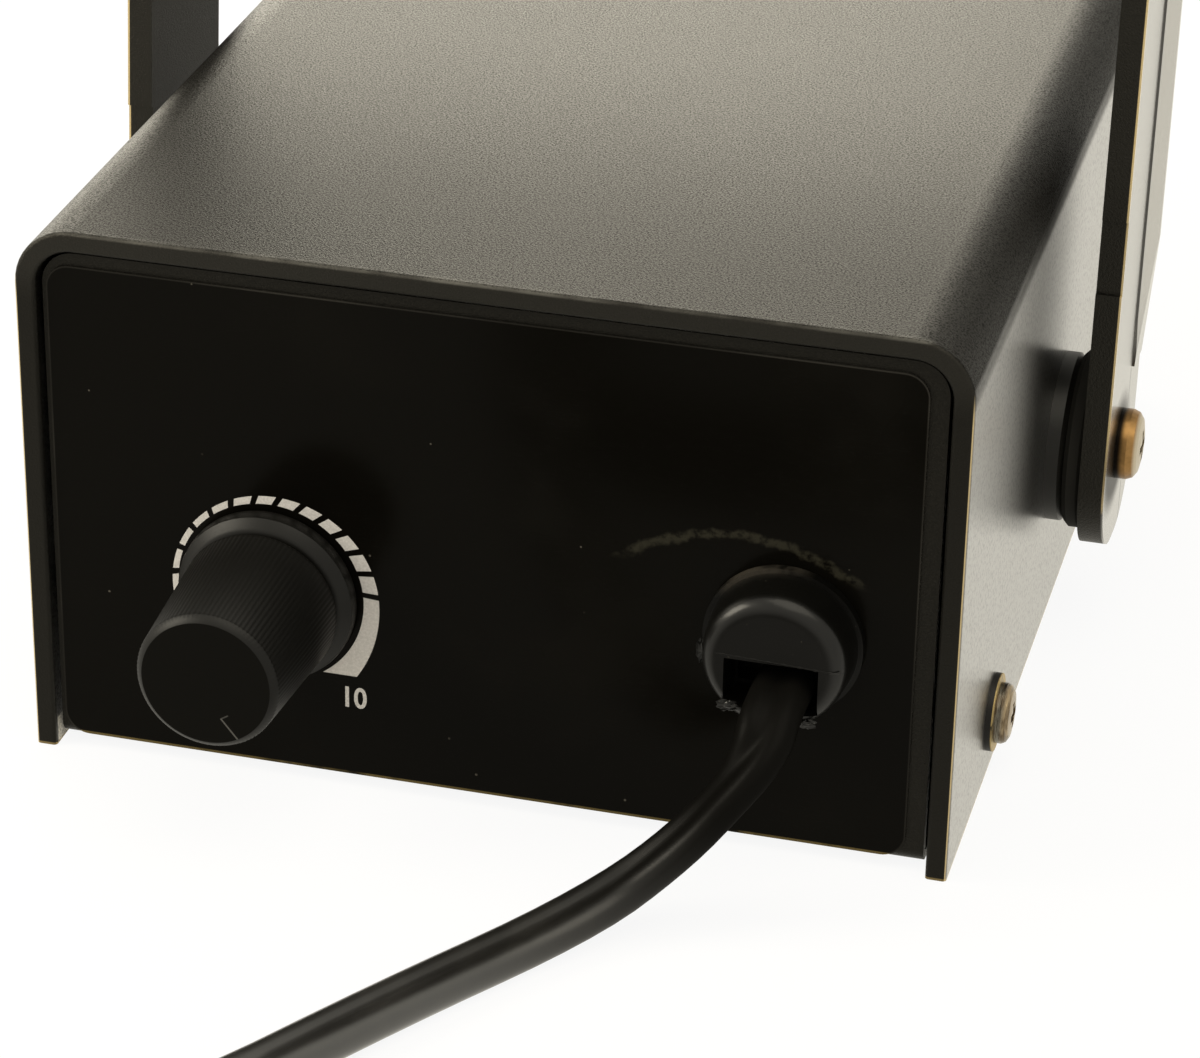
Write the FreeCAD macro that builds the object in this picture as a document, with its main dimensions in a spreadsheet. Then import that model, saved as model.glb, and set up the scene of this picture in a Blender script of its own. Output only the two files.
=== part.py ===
import FreeCAD
import Part
import Sketcher
import math
import os

# Small xenon stroboscope in a folded housing with a U bracket. Millimetres.
# X runs across the housing, +Y points to the control panel, -Y the way the light shines, +Z up.
# The housing stands on the lower edges of its cover at Z 0.

os.makedirs("parts", exist_ok=True)
doc = FreeCAD.newDocument("stroboscope")

SIZES = {
    # housing
    "cover_width": 115,
    "cover_height": 70,
    "cover_depth": 140,
    "cover_wall": 2.6,
    "cover_corner": 7.3,
    "cover_rim_round": 0.5,
    "fit_gap": 0.5,
    "tray_sheet": 1.2,
    "tray_lift": 1.1,
    "tray_bend": 1.8,
    "panel_recess": 1.2,
    "panel_corner": 4.2,
    "vent_width": 3,
    "vent_length": 26,
    "vent_pitch": 9,
    "vent_count": 7,
    # cover screws
    "cover_screw_inset": 28,
    "cover_screw_lift": 7.85,
    "cover_screw_shank": 1.75,
    "cover_screw_head": 3.8,
    "cover_screw_rise": 1.9,
    "cover_screw_length": 8,
    "cover_washer_radius": 4.9,
    "cover_washer_thick": 0.8,
    "tab_width": 16,
    "tab_height": 14,
    "screw_play": 0.25,
    # control label
    "label_thick": 0.25,
    "label_side_margin": 1.4,
    "label_low": 1.85,
    "label_top_margin": 1.6,
    "label_corner": 3,
    "label_shift": 0.85,
    # bracket and its pivots
    "pivot_inset": 70,
    "pivot_height": 26,
    "bracket_tilt": 5.1,
    "bracket_reach": 118,
    "bracket_drop": 12.8,
    "bracket_width": 26,
    "bracket_thick": 3.3,
    "bracket_bend": 12,
    "bracket_end_round": 11.5,
    "rib_height": 1.3,
    "rib_margin": 0.6,
    "rib_width": 7.6,
    "rib_start": 8.5,
    "rib_step": 0.25,
    "rib_slope": 6.8,
    "rib_fade": 20,
    "edge_notch_low": 24.3,
    "edge_notch_high": 34,
    "edge_notch_depth": 0.4,
    "hanging_hole": 4.2,
    "side_hole": 2.25,
    "side_hole_spacing": 60,
    "spacer_radius": 11,
    "spacer_thick": 2.4,
    "spacer_bevel": 0.7,
    "friction_radius": 11.6,
    "friction_thick": 2.45,
    "friction_round": 0.6,
    "pivot_shank": 2.5,
    "pivot_play": 0.08,
    "pivot_head": 4.6,
    "pivot_head_rise": 2.9,
    "pivot_nut_flats": 8,
    "pivot_nut_thick": 4,
    "pivot_washer_radius": 5,
    "pivot_washer_thick": 1,
    "screw_tip": 1.2,
    "recess_width": 1.1,
    "recess_length": 4.2,
    "recess_depth": 1.3,
    # front: bezel, lens, reflector, lamp
    "bezel_recess": 1.2,
    "bezel_thick": 5,
    "bezel_border": 11,
    "bezel_side_border": 10.4,
    "window_corner": 5,
    "window_bevel": 1.6,
    "lens_thick": 3,
    "lens_lip": 3,
    "lens_play": 0.15,
    "groove_pitch": 4,
    "groove_depth": 0.9,
    "groove_count": 21,
    "bezel_screw_edge": 3.7,
    "bezel_screw_drop": 4,
    "bezel_screw_shank": 1.4,
    "bezel_screw_head": 2.6,
    "bezel_screw_head_rise": 1.8,
    "bezel_screw_bite": 3.6,
    "reflector_wall": 1,
    "reflector_depth": 25,
    "reflector_mouth_side": 2.5,
    "reflector_mouth_rise": 1.5,
    "reflector_back_side": 13,
    "reflector_back_height": 8,
    "reflector_corner": 4,
    "reflector_rim_rise": 3,
    "tube_offset": 8,
    "tube_radius": 3,
    "tube_wall": 0.7,
    "tube_half": 39,
    "cap_thick": 0.5,
    "cap_sleeve": 2.7,
    "cap_face": 1.5,
    "electrode_radius": 0.9,
    "electrode_length": 10.3,
    "grommet_radius": 4.5,
    "grommet_length": 8.8,
    "grommet_gap": 0.5,
    "grommet_play": 0.1,
    "band_width": 3,
    "band_thick": 0.3,
    "trigger_wire": 0.35,
    # circuit board and what stands on it
    "board_side_gap": 10.4,
    "board_length": 72,
    "board_gap": 6,
    "board_thick": 1.6,
    "standoff_height": 6,
    "standoff_radius": 3,
    "board_hole_inset": 4,
    "board_screw_shank": 1.5,
    "board_screw_head": 2.8,
    "board_screw_head_rise": 2,
    "board_screw_length": 6,
    "capacitor_radius": 9,
    "capacitor_height": 30,
    "capacitor_spacing": 21,
    "capacitor_side": 26,
    "capacitor_inset": 16,
    "trigger_setback": 17,
    "transformer_inset": 9,
    "transformer_radius": 6.5,
    "transformer_core": 3,
    "transformer_winding": 5.4,
    "transformer_flange": 1.4,
    "transformer_height": 14,
    "pulse_capacitor_side": 4,
    "pulse_capacitor_length": 12,
    "pulse_capacitor_thick": 6,
    "pulse_capacitor_height": 10,
    "thyristor_side": 7,
    "thyristor_inset": 30,
    "thyristor_width": 10,
    "thyristor_thick": 4.4,
    "thyristor_height": 9.2,
    "thyristor_stand": 4,
    "thyristor_tab": 1.3,
    "thyristor_tab_height": 6.5,
    "thyristor_tab_hole": 1.8,
    "leg_width": 0.9,
    "leg_thick": 0.6,
    "leg_pitch": 2.54,
    "resistor_side": 9,
    "resistor_inset": 20,
    "resistor_length": 34,
    "resistor_width": 9,
    "resistor_height": 9,
    "resistor_stand": 3,
    "diode_side": 33,
    "diode_inset": 26,
    "diode_pitch": 7,
    "diode_count": 4,
    "diode_radius": 1.4,
    "diode_length": 5.2,
    "axial_half_span": 5.5,
    "axial_lead": 0.8,
    "axial_rise": 3.4,
    "small_resistor_side": 14,
    "small_resistor_inset": 26,
    "small_resistor_count": 3,
    "small_resistor_pitch": 6,
    "small_resistor_radius": 1.2,
    "small_resistor_length": 6.4,
    "fuse_side": 25,
    "fuse_inset": 14.5,
    "fuse_radius": 2.6,
    "fuse_length": 20,
    "fuse_cap_length": 5,
    "fuse_clip_width": 4.4,
    "fuse_clip_sheet": 0.5,
    "fuse_lift": 5,
    "fuse_wall": 0.5,
    # speed control
    "dial_side": 26.7,
    "dial_height": 25.7,
    "pot_radius": 8.3,
    "pot_depth": 10,
    "pot_shell": 1.2,
    "pot_bush": 3.5,
    "pot_bush_length": 7,
    "shaft_radius": 3,
    "shaft_play": 0.05,
    "shaft_flat": 1.5,
    "shaft_reach": 15,
    "wiper_radius": 6,
    "wiper_thick": 1.5,
    "lug_width": 2,
    "lug_thick": 0.6,
    "lug_length": 6,
    "lug_pitch": 5,
    "nut_flats": 10,
    "nut_thick": 2,
    "pot_washer_radius": 6,
    "pot_washer_thick": 0.5,
    "panel_hole_play": 0.15,
    "knob_gap": 0.3,
    "knob_height": 23.1,
    "skirt_radius": 11.05,
    "skirt_height": 2.6,
    "skirt_bevel": 0.9,
    "neck_radius": 9.0,
    "neck_height": 0.8,
    "barrel_foot": 9.6,
    "barrel_radius": 9.1,
    "knob_face": 8.6,
    "knob_chamfer": 0.5,
    "knob_hollow": 7.6,
    "knob_hollow_depth": 6,
    "flute_count": 60,
    "flute_depth": 0.2,
    "pointer_angle": 65.8,
    "pointer_width": 0.5,
    "pointer_depth": 0.3,
    "pointer_start": 4.8,
    # mains cord entry
    "cord_side": 36.6,
    "cord_height": 29.3,
    "bushing_flange": 9.6,
    "bushing_flange_thick": 1.2,
    "bushing_dome": 9,
    "bushing_rise": 7.3,
    "bushing_round": 2.2,
    "bushing_neck": 7.9,
    "bushing_tail": 7,
    "bushing_tail_length": 8,
    "bushing_barb": 8.6,
    "bushing_barb_thick": 2,
    "slot_width": 11.2,
    "slot_top": 0.4,
    "slot_foot": 5.9,
    "slot_pocket_depth": 3,
    "slot_pocket_edge": 0.4,
    "cord_width": 7.2,
    "cord_thick": 3.8,
    "cord_drop": 3.3,
    "cord_shift": 1.6,
    "cord_end_gap": 3.2,
    "wire_radius": 1,
    "wire_bend": 3.5,
    "lead_inset": 10,
    "mains_spacing": 3,
    "lamp_lead_inset": 9,
    # put-away coil and plug
    "coil_radius": 35,
    "coil_band": 13,
    "coil_height": 14.6,
    "coil_edge": 3,
    "coil_inset": 120.5,
    "coil_offset": 8,
    "coil_entry": 20,
    "coil_approach": 16.6,
    "plug_length": 36,
    "plug_width": 25,
    "plug_tail_width": 13,
    "plug_thick": 14,
    "plug_corner": 3,
    "plug_sleeve": 4,
    "plug_sleeve_length": 14,
    "plug_place": 120,
    "plug_lean": 30,
    "pin_radius": 2,
    "pin_length": 19,
    "pin_spacing": 19,
    "pin_tip": 0.8,
}


class Size:
    """A number together with the spreadsheet expression that gives it."""

    def __init__(self, value, text):
        self.value = value
        self.text = text

    def join(self, sign, other, value):
        return Size(value, f"({self.text} {sign} {other.text})")

    def __add__(self, other):
        other = as_size(other)
        return self.join("+", other, self.value + other.value)

    def __radd__(self, other):
        return as_size(other) + self

    def __sub__(self, other):
        other = as_size(other)
        return self.join("-", other, self.value - other.value)

    def __rsub__(self, other):
        return as_size(other) - self

    def __mul__(self, other):
        other = as_size(other)
        return self.join("*", other, self.value * other.value)

    def __rmul__(self, other):
        return as_size(other) * self

    def __truediv__(self, other):
        other = as_size(other)
        return self.join("/", other, self.value / other.value)

    def __neg__(self):
        return 0 - self


def as_size(number):
    if isinstance(number, Size):
        return number
    return Size(float(number), str(number))


def cosine(degrees):
    return Size(math.cos(math.radians(degrees.value)), f"cos({degrees.text} * 1deg)")


def sine(degrees):
    return Size(math.sin(math.radians(degrees.value)), f"sin({degrees.text} * 1deg)")


class Sizes:
    """Every driving dimension as a Size, by its name in the spreadsheet."""


def fill_sheet():
    sheet = doc.addObject("Spreadsheet::Sheet", "sizes")
    named = Sizes()
    for row, (name, value) in enumerate(SIZES.items(), start=1):
        sheet.set(f"A{row}", name)
        sheet.set(f"B{row}", str(value))
        sheet.setAlias(f"B{row}", name)
        setattr(named, name, Size(float(value), f"sizes.{name}"))
    doc.recompute()
    return named


s = fill_sheet()

# places that several pieces share
rear = (s.cover_depth - (s.knob_height + s.knob_gap + s.label_thick - s.panel_recess)) / 2
front = rear - s.cover_depth
half_width = s.cover_width / 2
inner_half = half_width - s.cover_wall
panel_half = inner_half - s.fit_gap
panel_top = s.cover_height - s.cover_wall - s.fit_gap
panel_out = rear - s.panel_recess
panel_in = panel_out - s.tray_sheet
label_face = panel_out + s.label_thick
label_half = panel_half - s.label_side_margin
label_high = panel_top - s.label_top_margin
window_z = s.cover_height / 2
window_half_w = panel_half - s.bezel_side_border
window_half_h = window_z - s.bezel_border
bezel_screw_x = panel_half - s.bezel_screw_edge
mouth_w = window_half_w - s.reflector_mouth_side
mouth_h = window_half_h - s.reflector_mouth_rise
reflector_back_w = s.tube_half - s.reflector_back_side
board_half = panel_half - s.board_side_gap
cap_inner_end = s.tube_half - s.cap_sleeve
grommet_outer = cap_inner_end - s.grommet_gap
grommet_inner = grommet_outer - s.grommet_length
transformer_x = s.tube_half - s.trigger_setback
floor_top = s.tray_lift + s.tray_sheet
bezel_front = front + s.bezel_recess
bezel_back = bezel_front + s.bezel_thick
flange_back = bezel_back + s.tray_sheet
mouth_back = flange_back + s.reflector_wall
reflector_back = flange_back + s.reflector_depth
tube_y = reflector_back - s.reflector_wall - s.tube_offset
pivot_y = rear - s.pivot_inset
spacer_face = half_width + s.spacer_thick
arm_inner = spacer_face + s.friction_thick
arm_outer = arm_inner + s.bracket_thick
board_low = floor_top + s.standoff_height
board_top = board_low + s.board_thick
board_front = reflector_back + s.board_gap
board_rear = board_front + s.board_length
cord_end = board_rear + s.cord_end_gap
knob_foot = label_face + s.knob_gap
knob_top = knob_foot + s.knob_height
bushing_face = label_face + s.bushing_flange_thick
cord_centre = s.cord_height - s.cord_drop
cord_x = -s.cord_side - s.cord_shift

PLANE_ROLES = {"xy": "XY_Plane", "xz": "XZ_Plane", "yz": "YZ_Plane"}
AXIS_ROLES = {"x": "X_Axis", "y": "Y_Axis", "z": "Z_Axis"}
PAD_REVERSED = {"xy": False, "xz": True, "yz": False}
POCKET_REVERSED = {"xy": True, "xz": False, "yz": True}


def origin_feature(body, role):
    return next(f for f in body.Origin.OriginFeatures if f.Role == role)


def bind(thing, path, size):
    thing.setExpression(path, as_size(size).text)


def new_body(name):
    body = doc.addObject("PartDesign::Body", name)
    body.Label = name
    body.AllowCompound = True
    return body


def add_feature(body, kind, name):
    feature = body.newObject(kind, f"{body.Name}_{name}")
    body.Tip = feature if kind.startswith("PartDesign") else body.Tip
    return feature


def new_sketch(body, plane, level=0, centre=(0, 0)):
    """Sketch on an origin plane; level is its place along the row axis that it faces."""
    sketch = add_feature(body, "Sketcher::SketchObject", "sketch")
    sketch.AttachmentSupport = [(origin_feature(body, PLANE_ROLES[plane]), "")]
    sketch.MapMode = "FlatFace"
    bind(sketch, "AttachmentOffset.Base.x", centre[0])
    bind(sketch, "AttachmentOffset.Base.y", centre[1])
    bind(sketch, "AttachmentOffset.Base.z", -as_size(level) if plane == "xz" else level)
    return sketch


def bind_constraint(sketch, constraint, size):
    index = sketch.addConstraint(constraint)
    name = f"size_{index}"
    sketch.renameConstraint(index, name)
    sketch.setExpression(f"Constraints.{name}", size.text)


def pin(sketch, kind, geometry, end, size):
    """Holds one coordinate of a sketch point at a size."""
    if size.text == "0":
        axis = -2 if kind == "DistanceX" else -1
        sketch.addConstraint(Sketcher.Constraint("PointOnObject", geometry, end, axis))
        return
    constraint = Sketcher.Constraint(kind, -1, 1, geometry, end, size.value)
    bind_constraint(sketch, constraint, size)


def draw_circle(sketch, across, up, radius):
    across, up, radius = as_size(across), as_size(up), as_size(radius)
    centre = FreeCAD.Vector(across.value, up.value, 0)
    circle = Part.Circle(centre, FreeCAD.Vector(0, 0, 1), radius.value)
    index = sketch.addGeometry(circle)
    pin(sketch, "DistanceX", index, 3, across)
    pin(sketch, "DistanceY", index, 3, up)
    bind_constraint(sketch, Sketcher.Constraint("Radius", index, radius.value), radius)


def corner_arc(sketch, point, before, after, radius):
    """Adds the arc that rounds a square corner; gives its index and its first and last ends."""
    into = (point - before).normalize()
    out = (after - point).normalize()
    first = point - into * radius.value
    last = point + out * radius.value
    centre = first + out * radius.value
    turns_left = into.cross(out).z > 0
    low, high = (first, last) if turns_left else (last, first)
    start = math.atan2(low.y - centre.y, low.x - centre.x)
    stop = math.atan2(high.y - centre.y, high.x - centre.x)
    circle = Part.Circle(centre, FreeCAD.Vector(0, 0, 1), radius.value)
    index = sketch.addGeometry(Part.ArcOfCircle(circle, start, stop))
    bind_constraint(sketch, Sketcher.Constraint("Radius", index, radius.value), radius)
    return index, first, last, (1 if turns_left else 2), (2 if turns_left else 1)


def draw_outline(sketch, corners, closed=True):
    """Outline through (across, up) corners; a third value rounds a corner between level and upright lines."""
    across = [as_size(c[0]) for c in corners]
    up = [as_size(c[1]) for c in corners]
    points = [FreeCAD.Vector(a.value, b.value, 0) for a, b in zip(across, up)]
    count = len(corners)
    arcs = {}
    for i, corner in enumerate(corners):
        if len(corner) > 2:
            before, after = points[i - 1], points[(i + 1) % count]
            arcs[i] = corner_arc(sketch, points[i], before, after, as_size(corner[2]))
    lines = {}
    for i in range(count if closed else count - 1):
        j = (i + 1) % count
        start = arcs[i][2] if i in arcs else points[i]
        stop = arcs[j][1] if j in arcs else points[j]
        lines[i] = sketch.addGeometry(Part.LineSegment(start, stop))
        level = up[i].text == up[j].text
        upright = across[i].text == across[j].text
        if level:
            sketch.addConstraint(Sketcher.Constraint("Horizontal", lines[i]))
            pin(sketch, "DistanceY", lines[i], 1, up[i])
        if upright:
            sketch.addConstraint(Sketcher.Constraint("Vertical", lines[i]))
            pin(sketch, "DistanceX", lines[i], 1, across[i])
        for end, k in ((1, i), (2, j)):
            other = (k - 1) % count if end == 1 else j
            has_other = closed or (0 <= other < count - 1 and not (end == 1 and k == 0))
            other_level = has_other and up[other].text == up[(other + 1) % count].text
            other_upright = has_other and across[other].text == across[(other + 1) % count].text
            if k in arcs or (end == 2 and has_other):
                continue
            if not level and not other_level:
                pin(sketch, "DistanceY", lines[i], end, up[k])
            if not upright and not other_upright:
                pin(sketch, "DistanceX", lines[i], end, across[k])
    for i in range(count):
        arriving = lines.get((i - 1) % count)
        leaving = lines.get(i)
        if arriving is None or leaving is None or (not closed and i == 0):
            continue
        if i in arcs:
            index, _, _, first_end, last_end = arcs[i]
            sketch.addConstraint(Sketcher.Constraint("Tangent", arriving, 2, index, first_end))
            sketch.addConstraint(Sketcher.Constraint("Tangent", index, last_end, leaving, 1))
        else:
            sketch.addConstraint(Sketcher.Constraint("Coincident", arriving, 2, leaving, 1))


def circle(across, up, radius):
    return ("circle", across, up, radius)


def box(left, right, low, high, radius=None):
    corners = [(left, low), (right, low), (right, high), (left, high)]
    return [c + (radius,) for c in corners] if radius is not None else corners


def draw(sketch, shapes):
    for shape in shapes:
        if shape[0] == "circle":
            draw_circle(sketch, *shape[1:])
        else:
            draw_outline(sketch, shape)


def add(body, plane, low, high, *shapes):
    """Pads shapes from low to high along the row axis that the plane faces."""
    sketch = new_sketch(body, plane, low)
    draw(sketch, shapes)
    pad = add_feature(body, "PartDesign::Pad", "pad")
    pad.Profile = sketch
    pad.Reversed = PAD_REVERSED[plane]
    bind(pad, "Length", as_size(high) - low)
    return pad


def cut(body, plane, low, high, *shapes):
    """Cuts shapes away from low to high along the row axis that the plane faces."""
    sketch = new_sketch(body, plane, low)
    draw(sketch, shapes)
    pocket = add_feature(body, "PartDesign::Pocket", "pocket")
    pocket.Profile = sketch
    pocket.Reversed = POCKET_REVERSED[plane]
    bind(pocket, "Length", as_size(high) - low)
    return pocket


TURN_PLANES = {"x": "xy", "y": "yz", "z": "xz"}


def turn(body, axis, place, profile, groove=False):
    """Turns (along, radius) corners about a line along the axis.

    place is where that line passes, in the other two row axes in X, Y, Z order.
    """
    first, second = place
    if axis == "x":
        level, centre = second, (0, first)
    elif axis == "y":
        level, centre = first, (0, second)
    else:
        level, centre = second, (first, 0)
    sketch = new_sketch(body, TURN_PLANES[axis], level, centre)
    corners = [(r, a) for a, r in profile] if axis == "z" else profile
    draw_outline(sketch, corners)
    kind = "PartDesign::Groove" if groove else "PartDesign::Revolution"
    feature = add_feature(body, kind, "turned")
    feature.Profile = sketch
    feature.ReferenceAxis = (sketch, ["V_Axis" if axis == "z" else "H_Axis"])
    feature.Angle = 360
    return feature


def copy_along(body, axis, length, count):
    """Repeats the whole body along an axis, count copies over the length."""
    pattern = add_feature(body, "PartDesign::LinearPattern", "pattern")
    pattern.TransformMode = "Whole shape"
    pattern.Direction = (origin_feature(body, AXIS_ROLES[axis]), [""])
    bind(pattern, "Length", length)
    bind(pattern, "Occurrences", count)
    return pattern


def repeat_feature(body, feature, axis, length, count):
    """Repeats one feature of the body along an axis."""
    pattern = add_feature(body, "PartDesign::LinearPattern", "pattern")
    pattern.Originals = [feature]
    pattern.Direction = (origin_feature(body, AXIS_ROLES[axis]), [""])
    bind(pattern, "Length", length)
    bind(pattern, "Occurrences", count)
    return pattern


def mirror(body, plane="yz"):
    """Mirrors the whole body in one of its origin planes."""
    mirrored = add_feature(body, "PartDesign::Mirrored", "mirrored")
    mirrored.TransformMode = "Whole shape"
    mirrored.MirrorPlane = (origin_feature(body, PLANE_ROLES[plane]), [""])
    return mirrored


def edges_where(feature, test):
    """Names of the feature's edges whose box passes the test."""
    doc.recompute()
    edges = feature.Shape.Edges
    return [f"Edge{i}" for i, edge in enumerate(edges, start=1) if test(edge.BoundBox)]


def same(a, b):
    return abs(a - b) < 1e-4


def along(box_of_edge, axis):
    """True for an edge that runs straight along one axis."""
    spans = {"x": box_of_edge.XLength, "y": box_of_edge.YLength, "z": box_of_edge.ZLength}
    return spans.pop(axis) > 1e-3 and max(spans.values()) < 1e-3


def dress(body, kind, feature, edges, size):
    """Fillet or Chamfer of the named edges."""
    dressing = add_feature(body, f"PartDesign::{kind}", kind.lower())
    dressing.Base = (feature, edges)
    bind(dressing, "Radius" if kind == "Fillet" else "Size", size)
    return dressing


def u_outline(half, low, high, wall, corner):
    """An upside-down U: outside half width, foot and top heights, wall and outside corner radius."""
    return [
        (-half, low),
        (-half, high, corner),
        (half, high, corner),
        (half, low),
        (half - wall, low),
        (half - wall, high - wall, corner - wall),
        (-(half - wall), high - wall, corner - wall),
        (-(half - wall), low),
    ]


# housing


def make_cover():
    body = new_body("cover")
    shell = u_outline(half_width, 0, s.cover_height, s.cover_wall, s.cover_corner)
    pad = add(body, "xz", front, rear, shell)
    rims = edges_where(pad, lambda b: b.YLength < 1e-3 and b.YMin * b.YMax > 0 and not same(b.ZMax, 0))
    dress(body, "Fillet", pad, rims, s.cover_rim_round)
    pivot = circle(pivot_y, s.pivot_height, s.pivot_shank + s.screw_play)
    screw_hole = s.cover_screw_shank + s.screw_play
    holes = [circle(y, s.cover_screw_lift, screw_hole) for y in cover_screw_places()]
    cut(body, "yz", -half_width, half_width, pivot, *holes)


def cover_screw_places():
    return (front + s.cover_screw_inset, rear - s.cover_screw_inset)


def make_chassis():
    body = new_body("chassis")
    bend, inner_bend = s.tray_bend, s.tray_bend - s.tray_sheet
    side_view = [
        (panel_out, panel_top),
        (panel_out, s.tray_lift, bend),
        (bezel_back, s.tray_lift, bend),
        (bezel_back, panel_top),
        (flange_back, panel_top),
        (flange_back, floor_top, inner_bend),
        (panel_in, floor_top, inner_bend),
        (panel_in, panel_top),
    ]
    pad = add(body, "yz", -panel_half, panel_half, side_view)
    ends = edges_where(pad, lambda b: along(b, "y") and same(b.ZMax, panel_top.value))
    rounded = dress(body, "Fillet", pad, ends, s.panel_corner)
    add_tabs(body)
    cut(body, "xz", bezel_back, flange_back, window(0), *bezel_screw_holes(0))
    entry = circle(s.dial_side, s.dial_height, s.pot_bush + s.panel_hole_play)
    cord_entry = circle(-s.cord_side, s.cord_height, s.bushing_neck)
    cut(body, "xz", panel_in, panel_out, entry, cord_entry)
    first = -s.vent_pitch * (s.vent_count - 1) / 2
    slot_middle = (front + rear) / 2
    vent = box(
        first - s.vent_width / 2,
        first + s.vent_width / 2,
        slot_middle - s.vent_length / 2,
        slot_middle + s.vent_length / 2,
    )
    vents = cut(body, "xy", s.tray_lift, floor_top, vent)
    repeat_feature(body, vents, "x", s.vent_pitch * (s.vent_count - 1), s.vent_count)
    return rounded


def add_tabs(body):
    """Upright tabs of the tray that the cover screws bite into."""
    for y in cover_screw_places():
        low, high = y - s.tab_width / 2, y + s.tab_width / 2
        for side in (-1, 1):
            inside, outside = side * (panel_half - s.tray_sheet), side * panel_half
            left, right = (outside, inside) if side < 0 else (inside, outside)
            add(body, "xy", s.tray_lift, s.tray_lift + s.tab_height, box(left, right, low, high))
    holes = [circle(y, s.cover_screw_lift, s.cover_screw_shank) for y in cover_screw_places()]
    cut(body, "yz", -panel_half, panel_half, *holes)


def window(grow):
    """Outline of the light opening, grown on each side."""
    width, height = window_half_w + grow, window_half_h + grow
    low, high = window_z - height, window_z + height
    return box(-width, width, low, high, s.window_corner)


def bezel_screw_places():
    rise = window_half_h - s.bezel_screw_drop
    rises = (window_z - rise, window_z + rise)
    return [(side * bezel_screw_x, z) for side in (-1, 1) for z in rises]


def bezel_screw_holes(play):
    return [circle(x, z, s.bezel_screw_shank + play) for x, z in bezel_screw_places()]


def make_front_bezel():
    body = new_body("front_bezel")
    face = box(-panel_half, panel_half, s.tray_lift, panel_top, s.panel_corner)
    add(body, "xz", bezel_front, bezel_back, face)
    opening = cut(body, "xz", bezel_front, bezel_back, window(0))
    mouth = edges_where(
        opening,
        lambda b: b.YLength < 1e-3
        and same(b.YMin, bezel_front.value)
        and max(abs(b.XMin), abs(b.XMax)) < window_half_w.value + 1e-3,
    )
    dress(body, "Chamfer", opening, mouth, s.window_bevel)
    seat_grow = s.lens_lip + s.lens_play
    cut(body, "xz", bezel_back - s.lens_thick, bezel_back, window(seat_grow))
    cut(body, "xz", bezel_back - s.bezel_screw_bite, bezel_back, *bezel_screw_holes(0))


def make_lens():
    body = new_body("lens")
    add(body, "xz", bezel_back - s.lens_thick, bezel_back, window(s.lens_lip))
    start = -s.groove_pitch * (s.groove_count - 1) / 2
    flank = [
        (start - s.groove_depth, bezel_back),
        (start, bezel_back - s.groove_depth),
        (start + s.groove_depth, bezel_back),
    ]
    low = window_z - window_half_h
    high = window_z + window_half_h
    groove = cut(body, "xy", low, high, flank)
    repeat_feature(body, groove, "x", s.groove_pitch * (s.groove_count - 1), s.groove_count)


def rectangle_sketch(body, level, half_across, half_up, radius):
    sketch = new_sketch(body, "xz", level)
    low, high = window_z - half_up, window_z + half_up
    draw(sketch, [box(-half_across, half_across, low, high, radius)])
    return sketch


def loft(body, kind, first, last):
    feature = add_feature(body, f"PartDesign::{kind}", "loft")
    feature.Profile = first
    feature.Sections = [last]
    feature.Ruled = True
    return feature


def make_reflector():
    body = new_body("reflector")
    rim_rise = window_half_h + s.reflector_rim_rise
    rim_side = panel_half - s.tray_sheet
    rim = box(-rim_side, rim_side, window_z - rim_rise, window_z + rim_rise)
    add(body, "xz", flange_back, mouth_back, rim)
    wall = s.reflector_wall
    corner = s.reflector_corner
    outer_mouth = rectangle_sketch(
        body, flange_back, mouth_w + wall, mouth_h + wall, corner
    )
    outer_back = rectangle_sketch(
        body, reflector_back, reflector_back_w + wall, s.reflector_back_height + wall, corner
    )
    loft(body, "AdditiveLoft", outer_mouth, outer_back)
    mouth = rectangle_sketch(
        body, flange_back, mouth_w, mouth_h, corner - wall / 2
    )
    back = rectangle_sketch(
        body, reflector_back - wall, reflector_back_w, s.reflector_back_height, corner - wall / 2
    )
    loft(body, "SubtractiveLoft", mouth, back)
    cut(body, "xz", flange_back, mouth_back, *bezel_screw_holes(0))
    tube_hole = circle(tube_y, window_z, s.grommet_radius + s.grommet_play)
    cut(body, "yz", -grommet_outer, grommet_outer, tube_hole)
    lead_hole = circle(transformer_x, window_z, s.wire_radius + s.grommet_play)
    cut(body, "xz", tube_y, reflector_back, lead_hole)


def make_xenon_tube():
    body = new_body("xenon_tube")
    bore = s.tube_radius - s.tube_wall
    section = (
        circle(tube_y, window_z, s.tube_radius),
        circle(tube_y, window_z, bore),
    )
    add(body, "yz", -s.tube_half, s.tube_half, *section)


def make_electrode_caps():
    body = new_body("electrode_caps")
    bore = s.tube_radius - s.tube_wall
    sleeve = s.tube_radius + s.cap_thick
    profile = [
        (cap_inner_end - s.electrode_length, 0),
        (cap_inner_end - s.electrode_length, s.electrode_radius),
        (cap_inner_end, s.electrode_radius),
        (cap_inner_end, bore),
        (s.tube_half, bore),
        (s.tube_half, s.tube_radius),
        (cap_inner_end, s.tube_radius),
        (cap_inner_end, sleeve),
        (s.tube_half + s.cap_face, sleeve),
        (s.tube_half + s.cap_face, 0),
    ]
    turn(body, "x", (tube_y, window_z), profile)
    mirror(body)


def make_tube_grommets():
    body = new_body("tube_grommets")
    ring = (
        circle(tube_y, window_z, s.grommet_radius),
        circle(tube_y, window_z, s.tube_radius),
    )
    add(body, "yz", grommet_inner, grommet_outer, *ring)
    mirror(body)


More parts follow.
